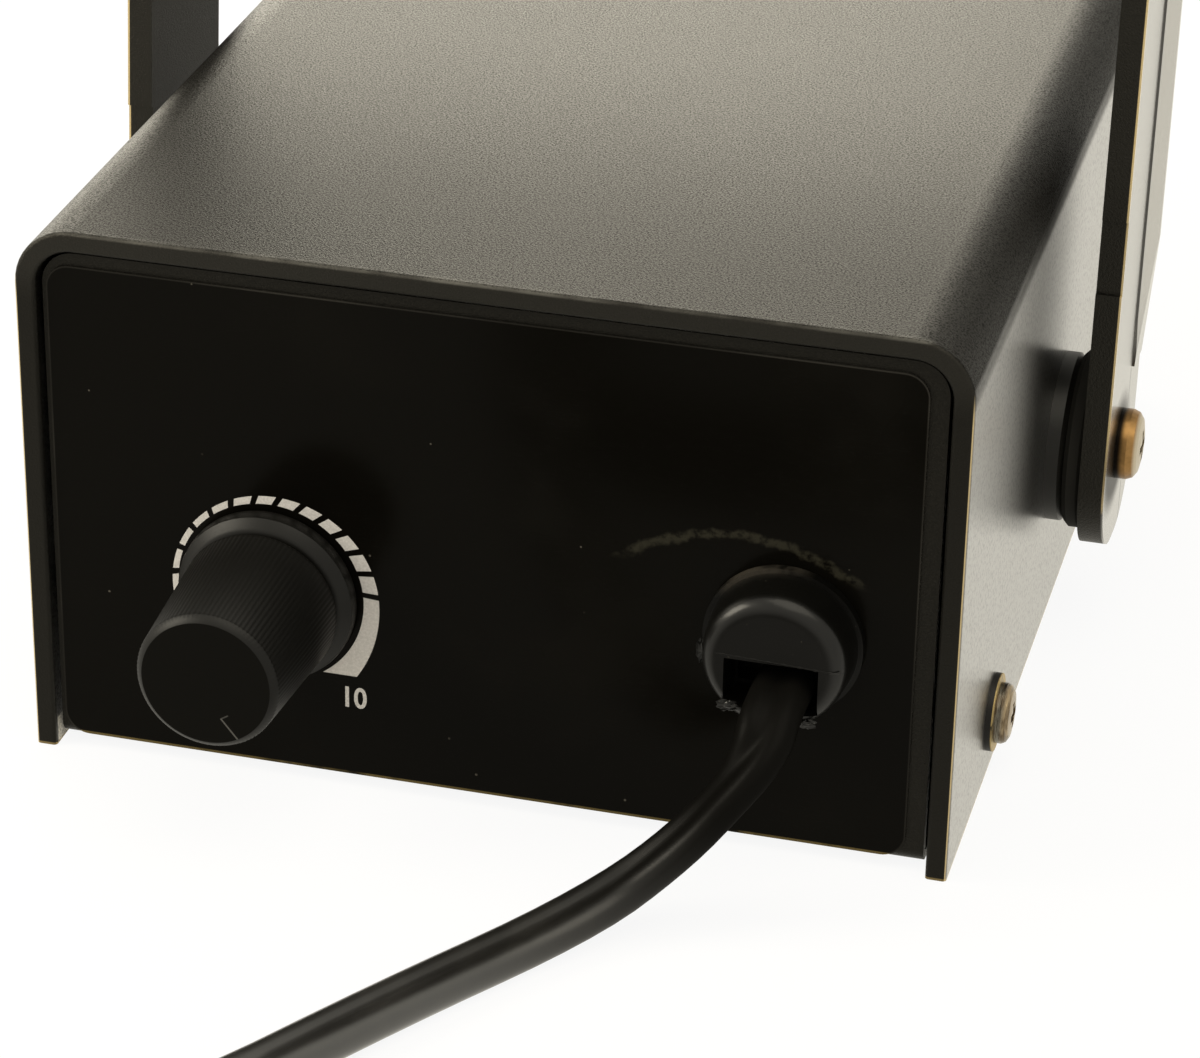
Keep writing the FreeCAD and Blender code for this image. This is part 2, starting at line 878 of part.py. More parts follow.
def make_trigger_wire():
    body = new_body("trigger_wire")
    ring = (
        circle(tube_y, window_z, s.tube_radius + s.band_thick),
        circle(tube_y, window_z, s.tube_radius),
    )
    middle, half_band = transformer_x, s.band_width / 2
    add(body, "yz", middle - half_band, middle + half_band, *ring)
    mirror(body)
    height = window_z + s.tube_radius + s.trigger_wire
    add(body, "yz", -(middle + half_band), middle + half_band, circle(tube_y, height, s.trigger_wire))


def pan_screw(body, axis, place, face, shank, head, rise, length, outward=1):
    """A pan-head screw: its head stands outward from the face, its shank runs the other way."""
    crown = face + outward * rise
    tip = face - outward * length
    cone = tip + outward * s.screw_tip
    profile = [
        (tip, 0),
        (cone, shank),
        (face, shank),
        (face, head),
        (face + outward * (rise * 0.45), head),
        (face + outward * (rise * 0.72), head * 0.93),
        (face + outward * (rise * 0.9), head * 0.77),
        (face + outward * (rise * 0.98), head * 0.5),
        (crown, head * 0.25),
        (crown, 0),
    ]
    turn(body, axis, place, profile)


def cross_recess(body, plane, face, outward, across, up, width, length, depth):
    """Two crossed slots cut into a screw head."""
    near, far = (face - depth, face) if outward > 0 else (face, face + depth)
    level = box(across - length / 2, across + length / 2, up - width / 2, up + width / 2)
    upright = box(across - width / 2, across + width / 2, up - length / 2, up + length / 2)
    cut(body, plane, near, far, level)
    cut(body, plane, near, far, upright)


def make_bezel_screws():
    body = new_body("bezel_screws")
    head_seat = mouth_back
    length = mouth_back - bezel_back + s.bezel_screw_bite
    for x, z in bezel_screw_places():
        pan_screw(
            body,
            "y",
            (x, z),
            head_seat,
            s.bezel_screw_shank,
            s.bezel_screw_head,
            s.bezel_screw_head_rise,
            length,
        )


def make_cover_screws():
    washers = new_body("cover_screw_washers")
    screws = new_body("cover_screws")
    y, z = cover_screw_places()[0], s.cover_screw_lift
    seat = half_width + s.cover_washer_thick
    ring = (
        circle(y, z, s.cover_washer_radius),
        circle(y, z, s.cover_screw_shank),
    )
    add(washers, "yz", half_width, seat, *ring)
    pan_screw(
        screws,
        "x",
        (y, z),
        seat,
        s.cover_screw_shank,
        s.cover_screw_head,
        s.cover_screw_rise,
        s.cover_screw_length,
    )
    crown = seat + s.cover_screw_rise
    width, length, depth = s.recess_width, s.recess_length, s.recess_depth
    cross_recess(screws, "yz", crown, 1, y, z, width, length * 0.8, depth)
    for body in (washers, screws):
        copy_along(body, "y", s.cover_depth - 2 * s.cover_screw_inset, 2)
        mirror(body)


# bracket


def is_outside(bounds, half):
    """True for an edge on the outer outline of the bracket's rib."""
    top = (s.bracket_reach + s.rib_height).value
    return same(bounds.XMax, half) or same(bounds.XMin, -half) or same(bounds.ZMin, top)


def make_bracket():
    """The yoke is drawn upright about its pivot line, then leant by the body's placement."""
    body = new_body("bracket")
    foot = -s.bracket_drop
    half = s.bracket_width / 2
    strap = u_outline(arm_outer, foot, s.bracket_reach, s.bracket_thick, s.bracket_bend)
    pad = add(body, "xz", -half, half, strap)
    ends = edges_where(pad, lambda b: along(b, "x") and same(b.ZMin, foot.value))
    rounded = dress(body, "Fillet", pad, ends, s.bracket_end_round)
    rib_half = arm_outer + s.rib_height
    rib = u_outline(
        rib_half, s.rib_start, s.bracket_reach + s.rib_height, s.rib_height, s.bracket_bend + s.rib_height
    )
    rib_edge = half - s.rib_margin
    ribs = add(body, "xz", -rib_edge, s.rib_width - rib_edge, rib)
    near = (s.rib_width - rib_edge).value
    outside = edges_where(ribs, lambda b: same(b.YMin, near) and same(b.YMax, near) and is_outside(b, rib_half.value))
    slope = dress(body, "Chamfer", ribs, outside, s.rib_height - s.rib_step)
    slope.ChamferType = "Two distances"
    bind(slope, "Size2", s.rib_slope)
    thin, beyond = arm_outer + s.rib_step, rib_half + s.rib_step
    fade = [(thin, s.rib_start), (beyond, s.rib_start), (beyond, s.rib_start + s.rib_fade)]
    cut(body, "xz", -half, half, fade, [(-across, up) for across, up in fade])
    bore = s.pivot_shank + s.pivot_play
    cut(body, "yz", -arm_outer, arm_outer, circle(0, 0, bore))
    notch = box(half - s.edge_notch_depth, half, s.edge_notch_low, s.edge_notch_high)
    cut(body, "yz", -arm_outer, arm_outer, notch)
    side = s.side_hole_spacing / 2
    holes = [circle(0, 0, s.hanging_hole), circle(-side, 0, s.side_hole), circle(side, 0, s.side_hole)]
    cut(body, "xy", s.bracket_reach - s.bracket_thick, s.bracket_reach + s.rib_height, *holes)
    body.Placement = FreeCAD.Placement(
        FreeCAD.Vector(0, pivot_y.value, s.pivot_height.value),
        FreeCAD.Rotation(FreeCAD.Vector(1, 0, 0), s.bracket_tilt.value),
    )
    bind(body, "Placement.Base.y", pivot_y)
    bind(body, "Placement.Base.z", s.pivot_height)
    bind(body, "Placement.Rotation.Angle", s.bracket_tilt)
    return rounded


def make_pivots():
    place = (pivot_y, s.pivot_height)
    spacers = new_body("pivot_spacers")
    radius, bevel = s.spacer_radius, s.spacer_bevel
    spacer_profile = [
        (half_width, s.pivot_shank),
        (half_width, radius),
        (spacer_face - bevel, radius),
        (spacer_face, radius - bevel),
        (spacer_face, s.pivot_shank),
    ]
    turn(spacers, "x", place, spacer_profile)
    washers = new_body("friction_washers")
    radius, bevel = s.friction_radius, s.friction_round
    washer_profile = [
        (spacer_face, s.pivot_shank),
        (spacer_face, radius - bevel),
        (spacer_face + bevel, radius),
        (arm_inner - bevel, radius),
        (arm_inner, radius - bevel),
        (arm_inner, s.pivot_shank),
    ]
    turn(washers, "x", place, washer_profile)
    screws = new_body("pivot_screws")
    nut_face = inner_half - s.pivot_washer_thick
    length = arm_outer - nut_face + s.pivot_nut_thick + s.screw_tip
    pan_screw(
        screws,
        "x",
        place,
        arm_outer,
        s.pivot_shank,
        s.pivot_head,
        s.pivot_head_rise,
        length,
    )
    crown = arm_outer + s.pivot_head_rise
    cross_recess(
        screws,
        "yz",
        crown,
        1,
        pivot_y,
        s.pivot_height,
        s.recess_width,
        s.recess_length,
        s.recess_depth,
    )
    flat_washers = new_body("pivot_washers")
    ring = (
        circle(pivot_y, s.pivot_height, s.pivot_washer_radius),
        circle(pivot_y, s.pivot_height, s.pivot_shank),
    )
    add(flat_washers, "yz", nut_face, inner_half, *ring)
    nuts = new_body("pivot_nuts")
    hexagon(nuts, nut_face - s.pivot_nut_thick, nut_face, "yz", place, s.pivot_nut_flats, s.pivot_shank)
    for body in (spacers, washers, screws, flat_washers, nuts):
        mirror(body)


def hexagon(body, low, high, plane, place, flats, bore):
    """Hexagon nut: outline corners worked out from the width across flats."""
    across, up = place
    inradius = flats / 2
    tip = inradius / math.cos(math.radians(30))
    half_side = tip / 2
    corners = [
        (across - inradius, up - half_side),
        (across, up - tip),
        (across + inradius, up - half_side),
        (across + inradius, up + half_side),
        (across, up + tip),
        (across - inradius, up + half_side),
    ]
    add(body, plane, low, high, corners, circle(across, up, bore))


# circuit board


def board_hole_places():
    side = board_half - s.board_hole_inset
    return [(x, y) for x in (-side, side) for y in (board_front + s.board_hole_inset, board_rear - s.board_hole_inset)]


def make_circuit_board():
    body = new_body("circuit_board")
    plate = box(-board_half, board_half, board_front, board_rear)
    holes = [circle(x, y, s.board_screw_shank) for x, y in board_hole_places()]
    add(body, "xy", board_low, board_top, plate, *holes)


def make_board_fixings():
    standoffs = new_body("board_standoffs")
    screws = new_body("board_screws")
    for x, y in board_hole_places():
        ring = (circle(x, y, s.standoff_radius), circle(x, y, s.board_screw_shank))
        add(standoffs, "xy", floor_top, board_low, *ring)
        pan_screw(
            screws,
            "z",
            (x, y),
            board_top,
            s.board_screw_shank,
            s.board_screw_head,
            s.board_screw_head_rise,
            s.board_screw_length,
        )


def make_storage_capacitors():
    body = new_body("storage_capacitors")
    radius, groove = s.capacitor_radius, s.capacitor_radius * 0.06
    top = board_top + s.capacitor_height
    crimp = board_top + s.capacitor_height * 0.12
    profile = [
        (board_top, 0),
        (board_top, radius),
        (crimp - groove, radius),
        (crimp, radius - groove),
        (crimp + groove, radius),
        (top - groove, radius),
        (top, radius - groove),
        (top, 0),
    ]
    turn(body, "z", (-s.capacitor_side, board_front + s.capacitor_inset), profile)
    copy_along(body, "y", s.capacitor_spacing, 2)


def make_trigger_transformer():
    place = (transformer_x, board_front + s.transformer_inset)
    top = board_top + s.transformer_height
    flange = s.transformer_flange
    bobbin = new_body("transformer_bobbin")
    bobbin_profile = [
        (board_top, 0),
        (board_top, s.transformer_radius),
        (board_top + flange, s.transformer_radius),
        (board_top + flange, s.transformer_core),
        (top - flange, s.transformer_core),
        (top - flange, s.transformer_radius),
        (top, s.transformer_radius),
        (top, 0),
    ]
    turn(bobbin, "z", place, bobbin_profile)
    winding = new_body("transformer_winding")
    ring = (
        circle(*place, s.transformer_winding),
        circle(*place, s.transformer_core),
    )
    add(winding, "xy", board_top + flange, top - flange, *ring)


def make_trigger_capacitor():
    body = new_body("trigger_capacitor")
    middle = board_front + s.transformer_inset
    across, along_y = s.pulse_capacitor_thick / 2, s.pulse_capacitor_length / 2
    outline = box(
        s.pulse_capacitor_side - across,
        s.pulse_capacitor_side + across,
        middle - along_y,
        middle + along_y,
    )
    pad = add(body, "xy", board_top, board_top + s.pulse_capacitor_height, outline)
    top = board_top + s.pulse_capacitor_height
    edges = edges_where(pad, lambda b: same(b.ZMin, top.value))
    dress(body, "Fillet", pad, edges, s.pulse_capacitor_thick / 8)


def make_thyristor():
    body = new_body("thyristor")
    x, y = s.thyristor_side, board_front + s.thyristor_inset
    low = board_top + s.thyristor_stand
    high = low + s.thyristor_height
    half = s.thyristor_width / 2
    add(body, "xy", low, high, box(x - half, x + half, y, y + s.thyristor_thick))
    tab_top = high + s.thyristor_tab_height
    tab = box(x - half, x + half, y + s.thyristor_thick - s.thyristor_tab, y + s.thyristor_thick)
    add(body, "xy", high, tab_top, tab)
    hole = circle(x, high + s.thyristor_tab_height / 2, s.thyristor_tab_hole)
    cut(body, "xz", y + s.thyristor_thick - s.thyristor_tab, y + s.thyristor_thick, hole)
    middle = y + s.thyristor_thick / 2
    for step in (-1, 0, 1):
        at = x + step * s.leg_pitch
        leg = box(at - s.leg_width / 2, at + s.leg_width / 2, middle - s.leg_thick / 2, middle + s.leg_thick / 2)
        add(body, "xy", board_top, low, leg)


def make_power_resistor():
    body = new_body("power_resistor")
    x, near = -s.resistor_side, board_front + s.resistor_inset
    far = near + s.resistor_length
    low = board_top + s.resistor_stand
    half = s.resistor_width / 2
    add(body, "xy", low, low + s.resistor_height, box(x - half, x + half, near, far))
    for y in (near + s.leg_pitch, far - s.leg_pitch):
        leg = box(x - s.leg_width / 2, x + s.leg_width / 2, y - s.leg_width / 2, y + s.leg_width / 2)
        add(body, "xy", board_top, low, leg)


def make_axial_parts(name, side, y, radius, length, pitch, count):
    """Axial components in a row, each on a staple-shaped lead that stands on the board."""
    body = new_body(name)
    lead = s.axial_lead
    axis_height = board_top + s.axial_rise
    staple = [
        (side - s.axial_half_span, board_top),
        (side - s.axial_half_span, axis_height + lead / 2),
        (side + s.axial_half_span, axis_height + lead / 2),
        (side + s.axial_half_span, board_top),
        (side + s.axial_half_span - lead, board_top),
        (side + s.axial_half_span - lead, axis_height - lead / 2),
        (side - s.axial_half_span + lead, axis_height - lead / 2),
        (side - s.axial_half_span + lead, board_top),
    ]
    add(body, "xz", y - lead / 2, y + lead / 2, staple)
    add(body, "yz", side - length / 2, side + length / 2, circle(y, axis_height, radius))
    copy_along(body, "y", pitch * (count - 1), count)


def make_fuse():
    y = board_rear - s.fuse_inset
    z = board_top + s.fuse_lift
    middle, half = -s.fuse_side, s.fuse_length / 2
    glass = new_body("fuse_glass")
    inner = s.fuse_radius - s.fuse_wall
    add(glass, "yz", middle - half, middle + half, circle(y, z, inner), circle(y, z, inner - s.fuse_wall))
    caps = new_body("fuse_caps")
    clips = new_body("fuse_clips")
    for side in (-1, 1):
        low = middle - half if side < 0 else middle + half - s.fuse_cap_length
        high = low + s.fuse_cap_length
        add(caps, "yz", low, high, circle(y, z, s.fuse_radius), circle(y, z, inner))
        centre = (low + high) / 2
        clip_half = s.fuse_clip_width / 2
        sheet = s.fuse_clip_sheet
        wide = s.fuse_radius + sheet
        cradle = [
            (y - wide, board_top),
            (y + wide, board_top),
            (y + wide, z + s.fuse_radius),
            (y + s.fuse_radius, z + s.fuse_radius),
            (y + s.fuse_radius, board_top + sheet),
            (y - s.fuse_radius, board_top + sheet),
            (y - s.fuse_radius, z + s.fuse_radius),
            (y - wide, z + s.fuse_radius),
        ]
        add(clips, "yz", centre - clip_half, centre + clip_half, cradle)


# speed control


def make_potentiometer():
    place = (s.dial_side, s.dial_height)
    body = new_body("potentiometer")
    back = panel_in - s.pot_depth
    shell = s.pot_shell
    bore = s.shaft_radius + s.shaft_play
    chamber = s.wiper_radius + s.pot_shell / 2
    bush_end = panel_in + s.pot_bush_length
    profile = [
        (back, 0),
        (back, s.pot_radius),
        (panel_in, s.pot_radius),
        (panel_in, s.pot_bush),
        (bush_end, s.pot_bush),
        (bush_end, bore),
        (panel_in - shell, bore),
        (panel_in - shell, chamber),
        (back + shell, chamber),
        (back + shell, 0),
    ]
    turn(body, "y", place, profile)
    half_lug = s.lug_width / 2
    for step in (-1, 0, 1):
        at = s.dial_side + step * s.lug_pitch
        low = s.dial_height - s.pot_radius - s.lug_length / 4
        high = s.dial_height - s.pot_radius / 2
        lug = box(at - half_lug, at + half_lug, low, high)
        add(body, "xz", back - s.lug_thick, back, lug)
    shaft = new_body("speed_shaft")
    seat = panel_in - shell
    wiper_low = seat - s.wiper_thick
    shaft_end = panel_in + s.shaft_reach
    shaft_profile = [
        (wiper_low, 0),
        (wiper_low, s.wiper_radius),
        (seat, s.wiper_radius),
        (seat, s.shaft_radius),
        (shaft_end, s.shaft_radius),
        (shaft_end, 0),
    ]
    turn(shaft, "y", place, shaft_profile)
    flat_side = s.dial_height + s.shaft_flat
    beyond = s.dial_height + s.shaft_radius * 2
    flat = box(s.dial_side - s.shaft_radius * 2, s.dial_side + s.shaft_radius * 2, flat_side, beyond)
    cut(shaft, "xz", bush_end, shaft_end, flat)


def make_pot_fixings():
    place = (s.dial_side, s.dial_height)
    washer = new_body("pot_washer")
    washer_end = label_face + s.pot_washer_thick
    ring = (circle(*place, s.pot_washer_radius), circle(*place, s.pot_bush))
    add(washer, "xz", label_face, washer_end, *ring)
    nut = new_body("pot_nut")
    hexagon(nut, washer_end, washer_end + s.nut_thick, "xz", place, s.nut_flats, s.pot_bush)


def make_speed_knob():
    place = (s.dial_side, s.dial_height)
    body = new_body("speed_knob")
    skirt_top = knob_foot + s.skirt_height
    neck_top = skirt_top + s.neck_height
    shaft_end = panel_in + s.shaft_reach
    hollow_end = knob_foot + s.knob_hollow_depth
    bore = s.shaft_radius
    profile = [
        (knob_foot, s.knob_hollow),
        (knob_foot, s.skirt_radius),
        (skirt_top - s.skirt_bevel, s.skirt_radius),
        (skirt_top, s.skirt_radius - s.skirt_bevel),
        (skirt_top, s.neck_radius),
        (neck_top, s.neck_radius),
        (neck_top, s.barrel_foot),
        (knob_top - s.knob_chamfer, s.barrel_radius),
        (knob_top, s.knob_face),
        (knob_top, 0),
        (shaft_end, 0),
        (shaft_end, bore),
        (hollow_end, bore),
        (hollow_end, s.knob_hollow),
    ]
    turn(body, "y", place, profile)
    flat_side = s.dial_height + s.shaft_flat
    key = box(
        s.dial_side - s.shaft_radius * 0.9,
        s.dial_side + s.shaft_radius * 0.9,
        flat_side,
        s.dial_height + s.shaft_radius + s.shaft_flat / 2,
    )
    add(body, "xz", hollow_end, shaft_end, key)
    add_flutes(body, neck_top)
    add_pointer(body)


def add_flutes(body, low):
    """Shallow flutes round the barrel: one cut, repeated about the knob's axis."""
    deep = s.barrel_radius - s.flute_depth
    flute = circle(s.dial_side, s.dial_height + deep + s.flute_depth * 2.4, s.flute_depth * 2.4)
    groove = cut(body, "xz", low, knob_top - s.knob_chamfer, flute)
    axis = new_sketch(body, "yz", s.dial_side, (0, s.dial_height))
    axis.addGeometry(Part.LineSegment(FreeCAD.Vector(0, 0, 0), FreeCAD.Vector(1, 0, 0)), True)
    pattern = add_feature(body, "PartDesign::PolarPattern", "flutes")
    pattern.Originals = [groove]
    pattern.Axis = (axis, ["H_Axis"])
    pattern.Angle = 360
    bind(pattern, "Occurrences", s.flute_count)


def add_pointer(body):
    """Line sunk into the knob's face, pointing down to the right as the panel is read."""
    sketch = new_sketch(body, "xz", knob_top - s.pointer_depth, (s.dial_side, s.dial_height))
    draw(sketch, [box(-s.pointer_width / 2, s.pointer_width / 2, -s.knob_face, -s.pointer_start)])
    bind(sketch, "AttachmentOffset.Rotation.Angle", -(90 - s.pointer_angle))
    sketch.AttachmentOffset = FreeCAD.Placement(
        sketch.AttachmentOffset.Base, FreeCAD.Rotation(FreeCAD.Vector(0, 0, 1), s.pointer_angle.value - 90)
    )
    pocket = add_feature(body, "PartDesign::Pocket", "pocket")
    pocket.Profile = sketch
    pocket.Reversed = POCKET_REVERSED["xz"]
    bind(pocket, "Length", s.pointer_depth)


def make_label():
    body = new_body("control_label")
    left = s.label_shift - label_half
    right = s.label_shift + label_half
    film = box(left, right, s.label_low, label_high, s.label_corner)
    pot_hole = circle(s.dial_side, s.dial_height, s.pot_bush + s.panel_hole_play)
    cord_hole = circle(-s.cord_side, s.cord_height, s.bushing_neck)
    add(body, "xz", panel_out, label_face, film, pot_hole, cord_hole)


# cord entry


def make_strain_relief():
    body = new_body("strain_relief")
    place = (-s.cord_side, s.cord_height)
    end = label_face + s.bushing_rise
    tail = panel_in - s.bushing_tail_length
    barb = panel_in - s.bushing_barb_thick
    profile = [
        (tail, 0),
        (tail, s.bushing_tail),
        (barb, s.bushing_tail),
        (panel_in, s.bushing_barb),
        (panel_in, s.bushing_neck),
        (label_face, s.bushing_neck),
        (label_face, s.bushing_flange),
        (bushing_face, s.bushing_flange),
        (bushing_face, s.bushing_dome),
        (end, s.bushing_dome - s.bushing_round / 4),
        (end, 0),
    ]
    solid = turn(body, "y", place, profile)
    rim = edges_where(solid, lambda b: b.YLength < 1e-3 and same(b.YMin, end.value))
    dress(body, "Fillet", solid, rim, s.bushing_round)
    half = s.slot_width / 2
    low, high = s.cord_height - s.slot_foot, s.cord_height + s.slot_top
    cut(body, "xz", bushing_face, end, box(-s.cord_side - half, -s.cord_side + half, low, high))
    left, right = cord_x + s.cord_width / 2 + s.slot_pocket_edge, -s.cord_side + half - s.slot_pocket_edge
    pocket = box(left, right, low + s.slot_pocket_edge, high - s.slot_pocket_edge)
    cut(body, "xz", bushing_face - s.slot_pocket_depth, bushing_face, pocket)
    cut(body, "xz", tail, bushing_face, cord_section())


def cord_section():
    """Flat two-core section, upright ends rounded."""
    half, thick = s.cord_width / 2, s.cord_thick / 2
    left, right = cord_x - half, cord_x + half
    return box(left, right, cord_centre - thick, cord_centre + thick, thick * 0.9)


def make_cord_tail():
    body = new_body("cord_tail")
    add(body, "xz", cord_end, bushing_face, cord_section())


def make_leads(name, x_places, start, height, turn_y, foot):
    """Wires that run forward from start and turn down to the board."""
    body = new_body(name)
    for x in x_places:
        profile = new_sketch(body, "xz", start)
        draw(profile, [circle(x, height, s.wire_radius)])
        spine = new_sketch(body, "yz", x)
        draw_outline(spine, [(start, height), (turn_y, height, s.wire_bend), (turn_y, foot)], closed=False)
        pipe = add_feature(body, "PartDesign::AdditivePipe", "pipe")
        pipe.Profile = profile
        pipe.Spine = spine


def make_wiring():
    spread = s.mains_spacing / 2
    mains = (cord_x - spread, cord_x + spread)
    lower_turn = board_rear - s.lead_inset
    make_leads("mains_leads", mains, cord_end, cord_centre, lower_turn, board_top)
    lug_back = panel_in - s.pot_depth - s.lug_thick
    lug_height = s.dial_height - s.pot_radius
    speed = [s.dial_side + step * s.lug_pitch for step in (-1, 0, 1)]
    make_leads("speed_leads", speed, lug_back, lug_height, lower_turn, board_top)
    cap_back = tube_y + s.tube_radius + s.cap_thick
    lamp_x = s.tube_half - s.cap_face
    upper_turn = board_front + s.lamp_lead_inset
    make_leads("lamp_leads", (-lamp_x, lamp_x), cap_back, window_z, upper_turn, board_top)
    band_back = tube_y + s.tube_radius + s.band_thick
    coil_top = board_top + s.transformer_height
    coil_y = board_front + s.transformer_inset
    make_leads("trigger_lead", (transformer_x,), band_back, window_z, coil_y, coil_top)


# free cord, its coil and plug


def sweep_round(points, radius):
    """Tube along straight runs joined by tangent arcs, each 0.45 of its shorter run."""
    edges = []
    radii = []
    here = points[0]
    for i in range(1, len(points) - 1):
        into = (points[i] - points[i - 1]).normalize()
        out = (points[i + 1] - points[i]).normalize()
        shorter = min((points[i] - points[i - 1]).Length, (points[i + 1] - points[i]).Length)
        reach = 0.45 * shorter
        half_turn = into.getAngle(out) / 2
        radii.append(reach / math.tan(half_turn))
        first = points[i] - into * reach
        last = points[i] + out * reach
        to_middle = (out - into).normalize()
        middle = points[i] + to_middle * (radii[-1] / math.cos(half_turn) - radii[-1])
        edges.append(Part.LineSegment(here, first).toShape())
        edges.append(Part.Arc(first, middle, last).toShape())
        here = last
    edges.append(Part.LineSegment(here, points[-1]).toShape())
    path = Part.Wire(edges)
    ring = Part.Wire(Part.Circle(points[0], points[1] - points[0], radius).toShape())
    tube = path.makePipeShell([ring], True, True)
    section = math.pi * radius**2
    print("cord radii", [round(r, 1) for r in radii], "volume / section x length",
          round(tube.Volume / (section * path.Length), 4), "length", round(path.Length, 1))
    return tube


def coil_centre():
    return (-s.coil_offset, rear + s.coil_inset)


def cord_route():
    """Corners of the free cord's path: out of the strain relief, down to the floor and onto the coil."""
    exit_point = FreeCAD.Vector(cord_x.value, bushing_face.value, cord_centre.value)
    lying = s.cord_width.value / 2
    landing = exit_point + FreeCAD.Vector(19.2, 22, 0)
    crossing = exit_point + FreeCAD.Vector(37.3, 48.4, 0)
    landing.z = crossing.z = lying
    middle = FreeCAD.Vector(*(size.value for size in coil_centre()), lying)
    outward = FreeCAD.Vector(1, 0, 0)
    outward = FreeCAD.Rotation(FreeCAD.Vector(0, 0, 1), -s.coil_entry.value).multVec(outward)
    onward = FreeCAD.Vector(-outward.y, outward.x, 0)
    onto_coil = middle + outward * (s.coil_radius.value + s.coil_band.value / 2 - lying)
    approach = onto_coil - onward * s.coil_approach.value
    return [
        exit_point,
        exit_point + FreeCAD.Vector(0.6, 7.9, -0.1),
        exit_point + FreeCAD.Vector(1, 13.4, -5.4),
        exit_point + FreeCAD.Vector(8.5, 15.9, -15.4),
        landing,
        crossing,
        approach,
        onto_coil,
    ]


def make_cord():
    cord = doc.addObject("Part::Feature", "mains_cord")
    cord.Shape = sweep_round(cord_route(), s.cord_width.value / 2)


def make_cord_coil():
    body = new_body("cord_coil")
    x, y = coil_centre()
    band = s.coil_band / 2
    inner, outer = s.coil_radius - band, s.coil_radius + band
    profile = [
        (0, inner),
        (0, outer),
        (s.coil_height, outer),
        (s.coil_height, inner),
    ]
    ring = turn(body, "z", (x, y), profile)
    edges = edges_where(ring, lambda b: b.ZLength < 1e-3)
    dress(body, "Fillet", ring, edges, s.coil_edge)


def make_plug():
    """Flat two-pin plug, drawn along its own -Y from the coil and set beside it."""
    body = new_body("plug_body")
    pins = new_body("plug_pins")
    start = -s.plug_sleeve_length
    face = start - s.plug_length
    wide, narrow = s.plug_width / 2, s.plug_tail_width / 2
    plan = [
        (-narrow, start),
        (-wide, start - s.plug_length * 0.45),
        (-wide, face),
        (wide, face),
        (wide, start - s.plug_length * 0.45),
        (narrow, start),
    ]
    pad = add(body, "xy", 0, s.plug_thick, plan)
    upright = edges_where(pad, lambda b: along(b, "z"))
    rounded = dress(body, "Fillet", pad, upright, s.plug_corner)
    rims = edges_where(rounded, lambda b: b.ZLength < 1e-3)
    dress(body, "Fillet", rounded, rims, s.plug_corner * 0.6)
    middle = s.plug_thick / 2
    sleeve = [(start - s.plug_corner, 0), (start - s.plug_corner, s.plug_sleeve * 1.3),
              (0, s.plug_sleeve), (0, 0)]
    turn(body, "y", (0, middle), sleeve)
    pin_profile = [
        (face, 0),
        (face, s.pin_radius),
        (face - s.pin_length + s.pin_tip, s.pin_radius),
        (face - s.pin_length, s.pin_radius - s.pin_tip),
        (face - s.pin_length, 0),
    ]
    for side in (-1, 1):
        turn(pins, "y", (side * s.pin_spacing / 2, middle), pin_profile)
    x, y = coil_centre()
    reach = s.coil_radius + s.coil_band / 2
    left = x + reach * cosine(s.plug_place)
    deep = y + reach * sine(s.plug_place)
    heading = s.plug_place + 180 - s.plug_lean
    for piece in (body, pins):
        piece.Placement = FreeCAD.Placement(
            FreeCAD.Vector(left.value, deep.value, 0),
            FreeCAD.Rotation(FreeCAD.Vector(0, 0, 1), heading.value),
        )
        bind(piece, "Placement.Base.x", left)
        bind(piece, "Placement.Base.y", deep)
        bind(piece, "Placement.Rotation.Angle", heading)


def make_all():
    make_cover()
    make_chassis()
    make_label()
    make_cover_screws()
    make_front_bezel()
    make_lens()
    make_reflector()
    make_xenon_tube()
    make_electrode_caps()
    make_tube_grommets()
    make_trigger_wire()
    make_bezel_screws()
    make_bracket()
    make_pivots()
    make_circuit_board()
    make_board_fixings()
    make_storage_capacitors()
    make_trigger_transformer()
    make_trigger_capacitor()
    make_thyristor()
    make_power_resistor()
    make_axial_parts(
        "rectifier_diodes",
        s.diode_side,
        board_front + s.diode_inset,
        s.diode_radius,
        s.diode_length,
        s.diode_pitch,
        s.diode_count,
    )
    make_axial_parts(
        "timing_resistors",
        s.small_resistor_side,
        board_rear - s.small_resistor_inset,
        s.small_resistor_radius,
        s.small_resistor_length,
        s.small_resistor_pitch,
        s.small_resistor_count,
    )
    make_fuse()
    make_potentiometer()
    make_pot_fixings()
    make_speed_knob()
    make_strain_relief()
    make_cord_tail()
    make_wiring()
    make_cord()
    make_cord_coil()
    make_plug()


def check_document():
    doc.recompute()
    for item in doc.Objects:
        if any(word in str(item.State) for word in ("Invalid", "Error")):
            raise RuntimeError(f"{item.Name} has state {item.State}")
        shape = getattr(item, "Shape", None)
        if item.TypeId in ("PartDesign::Body", "Part::Feature") and (shape.isNull() or not shape.isValid()):
            raise RuntimeError(f"{item.Name} has no valid shape")


def export_parts():
    for item in doc.Objects:
        if item.TypeId in ("PartDesign::Body", "Part::Feature"):
            item.Shape.exportStep(f"parts/{item.Name}.step")
            print(item.Name, "solids", len(item.Shape.Solids), "volume", round(item.Shape.Volume, 1))


make_all()
check_document()
export_parts()
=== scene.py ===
"""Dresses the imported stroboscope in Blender: finishes for its CAD parts, the printed speed scale,
the control knob, the two-core mains cord with its put-away coil, and a pale studio around them.
It is laid out as a Blender add-on and is run as a script."""
import math

import bpy
import numpy as np
from bpy.props import FloatProperty, FloatVectorProperty, IntProperty, PointerProperty
from mathutils import Matrix, Vector


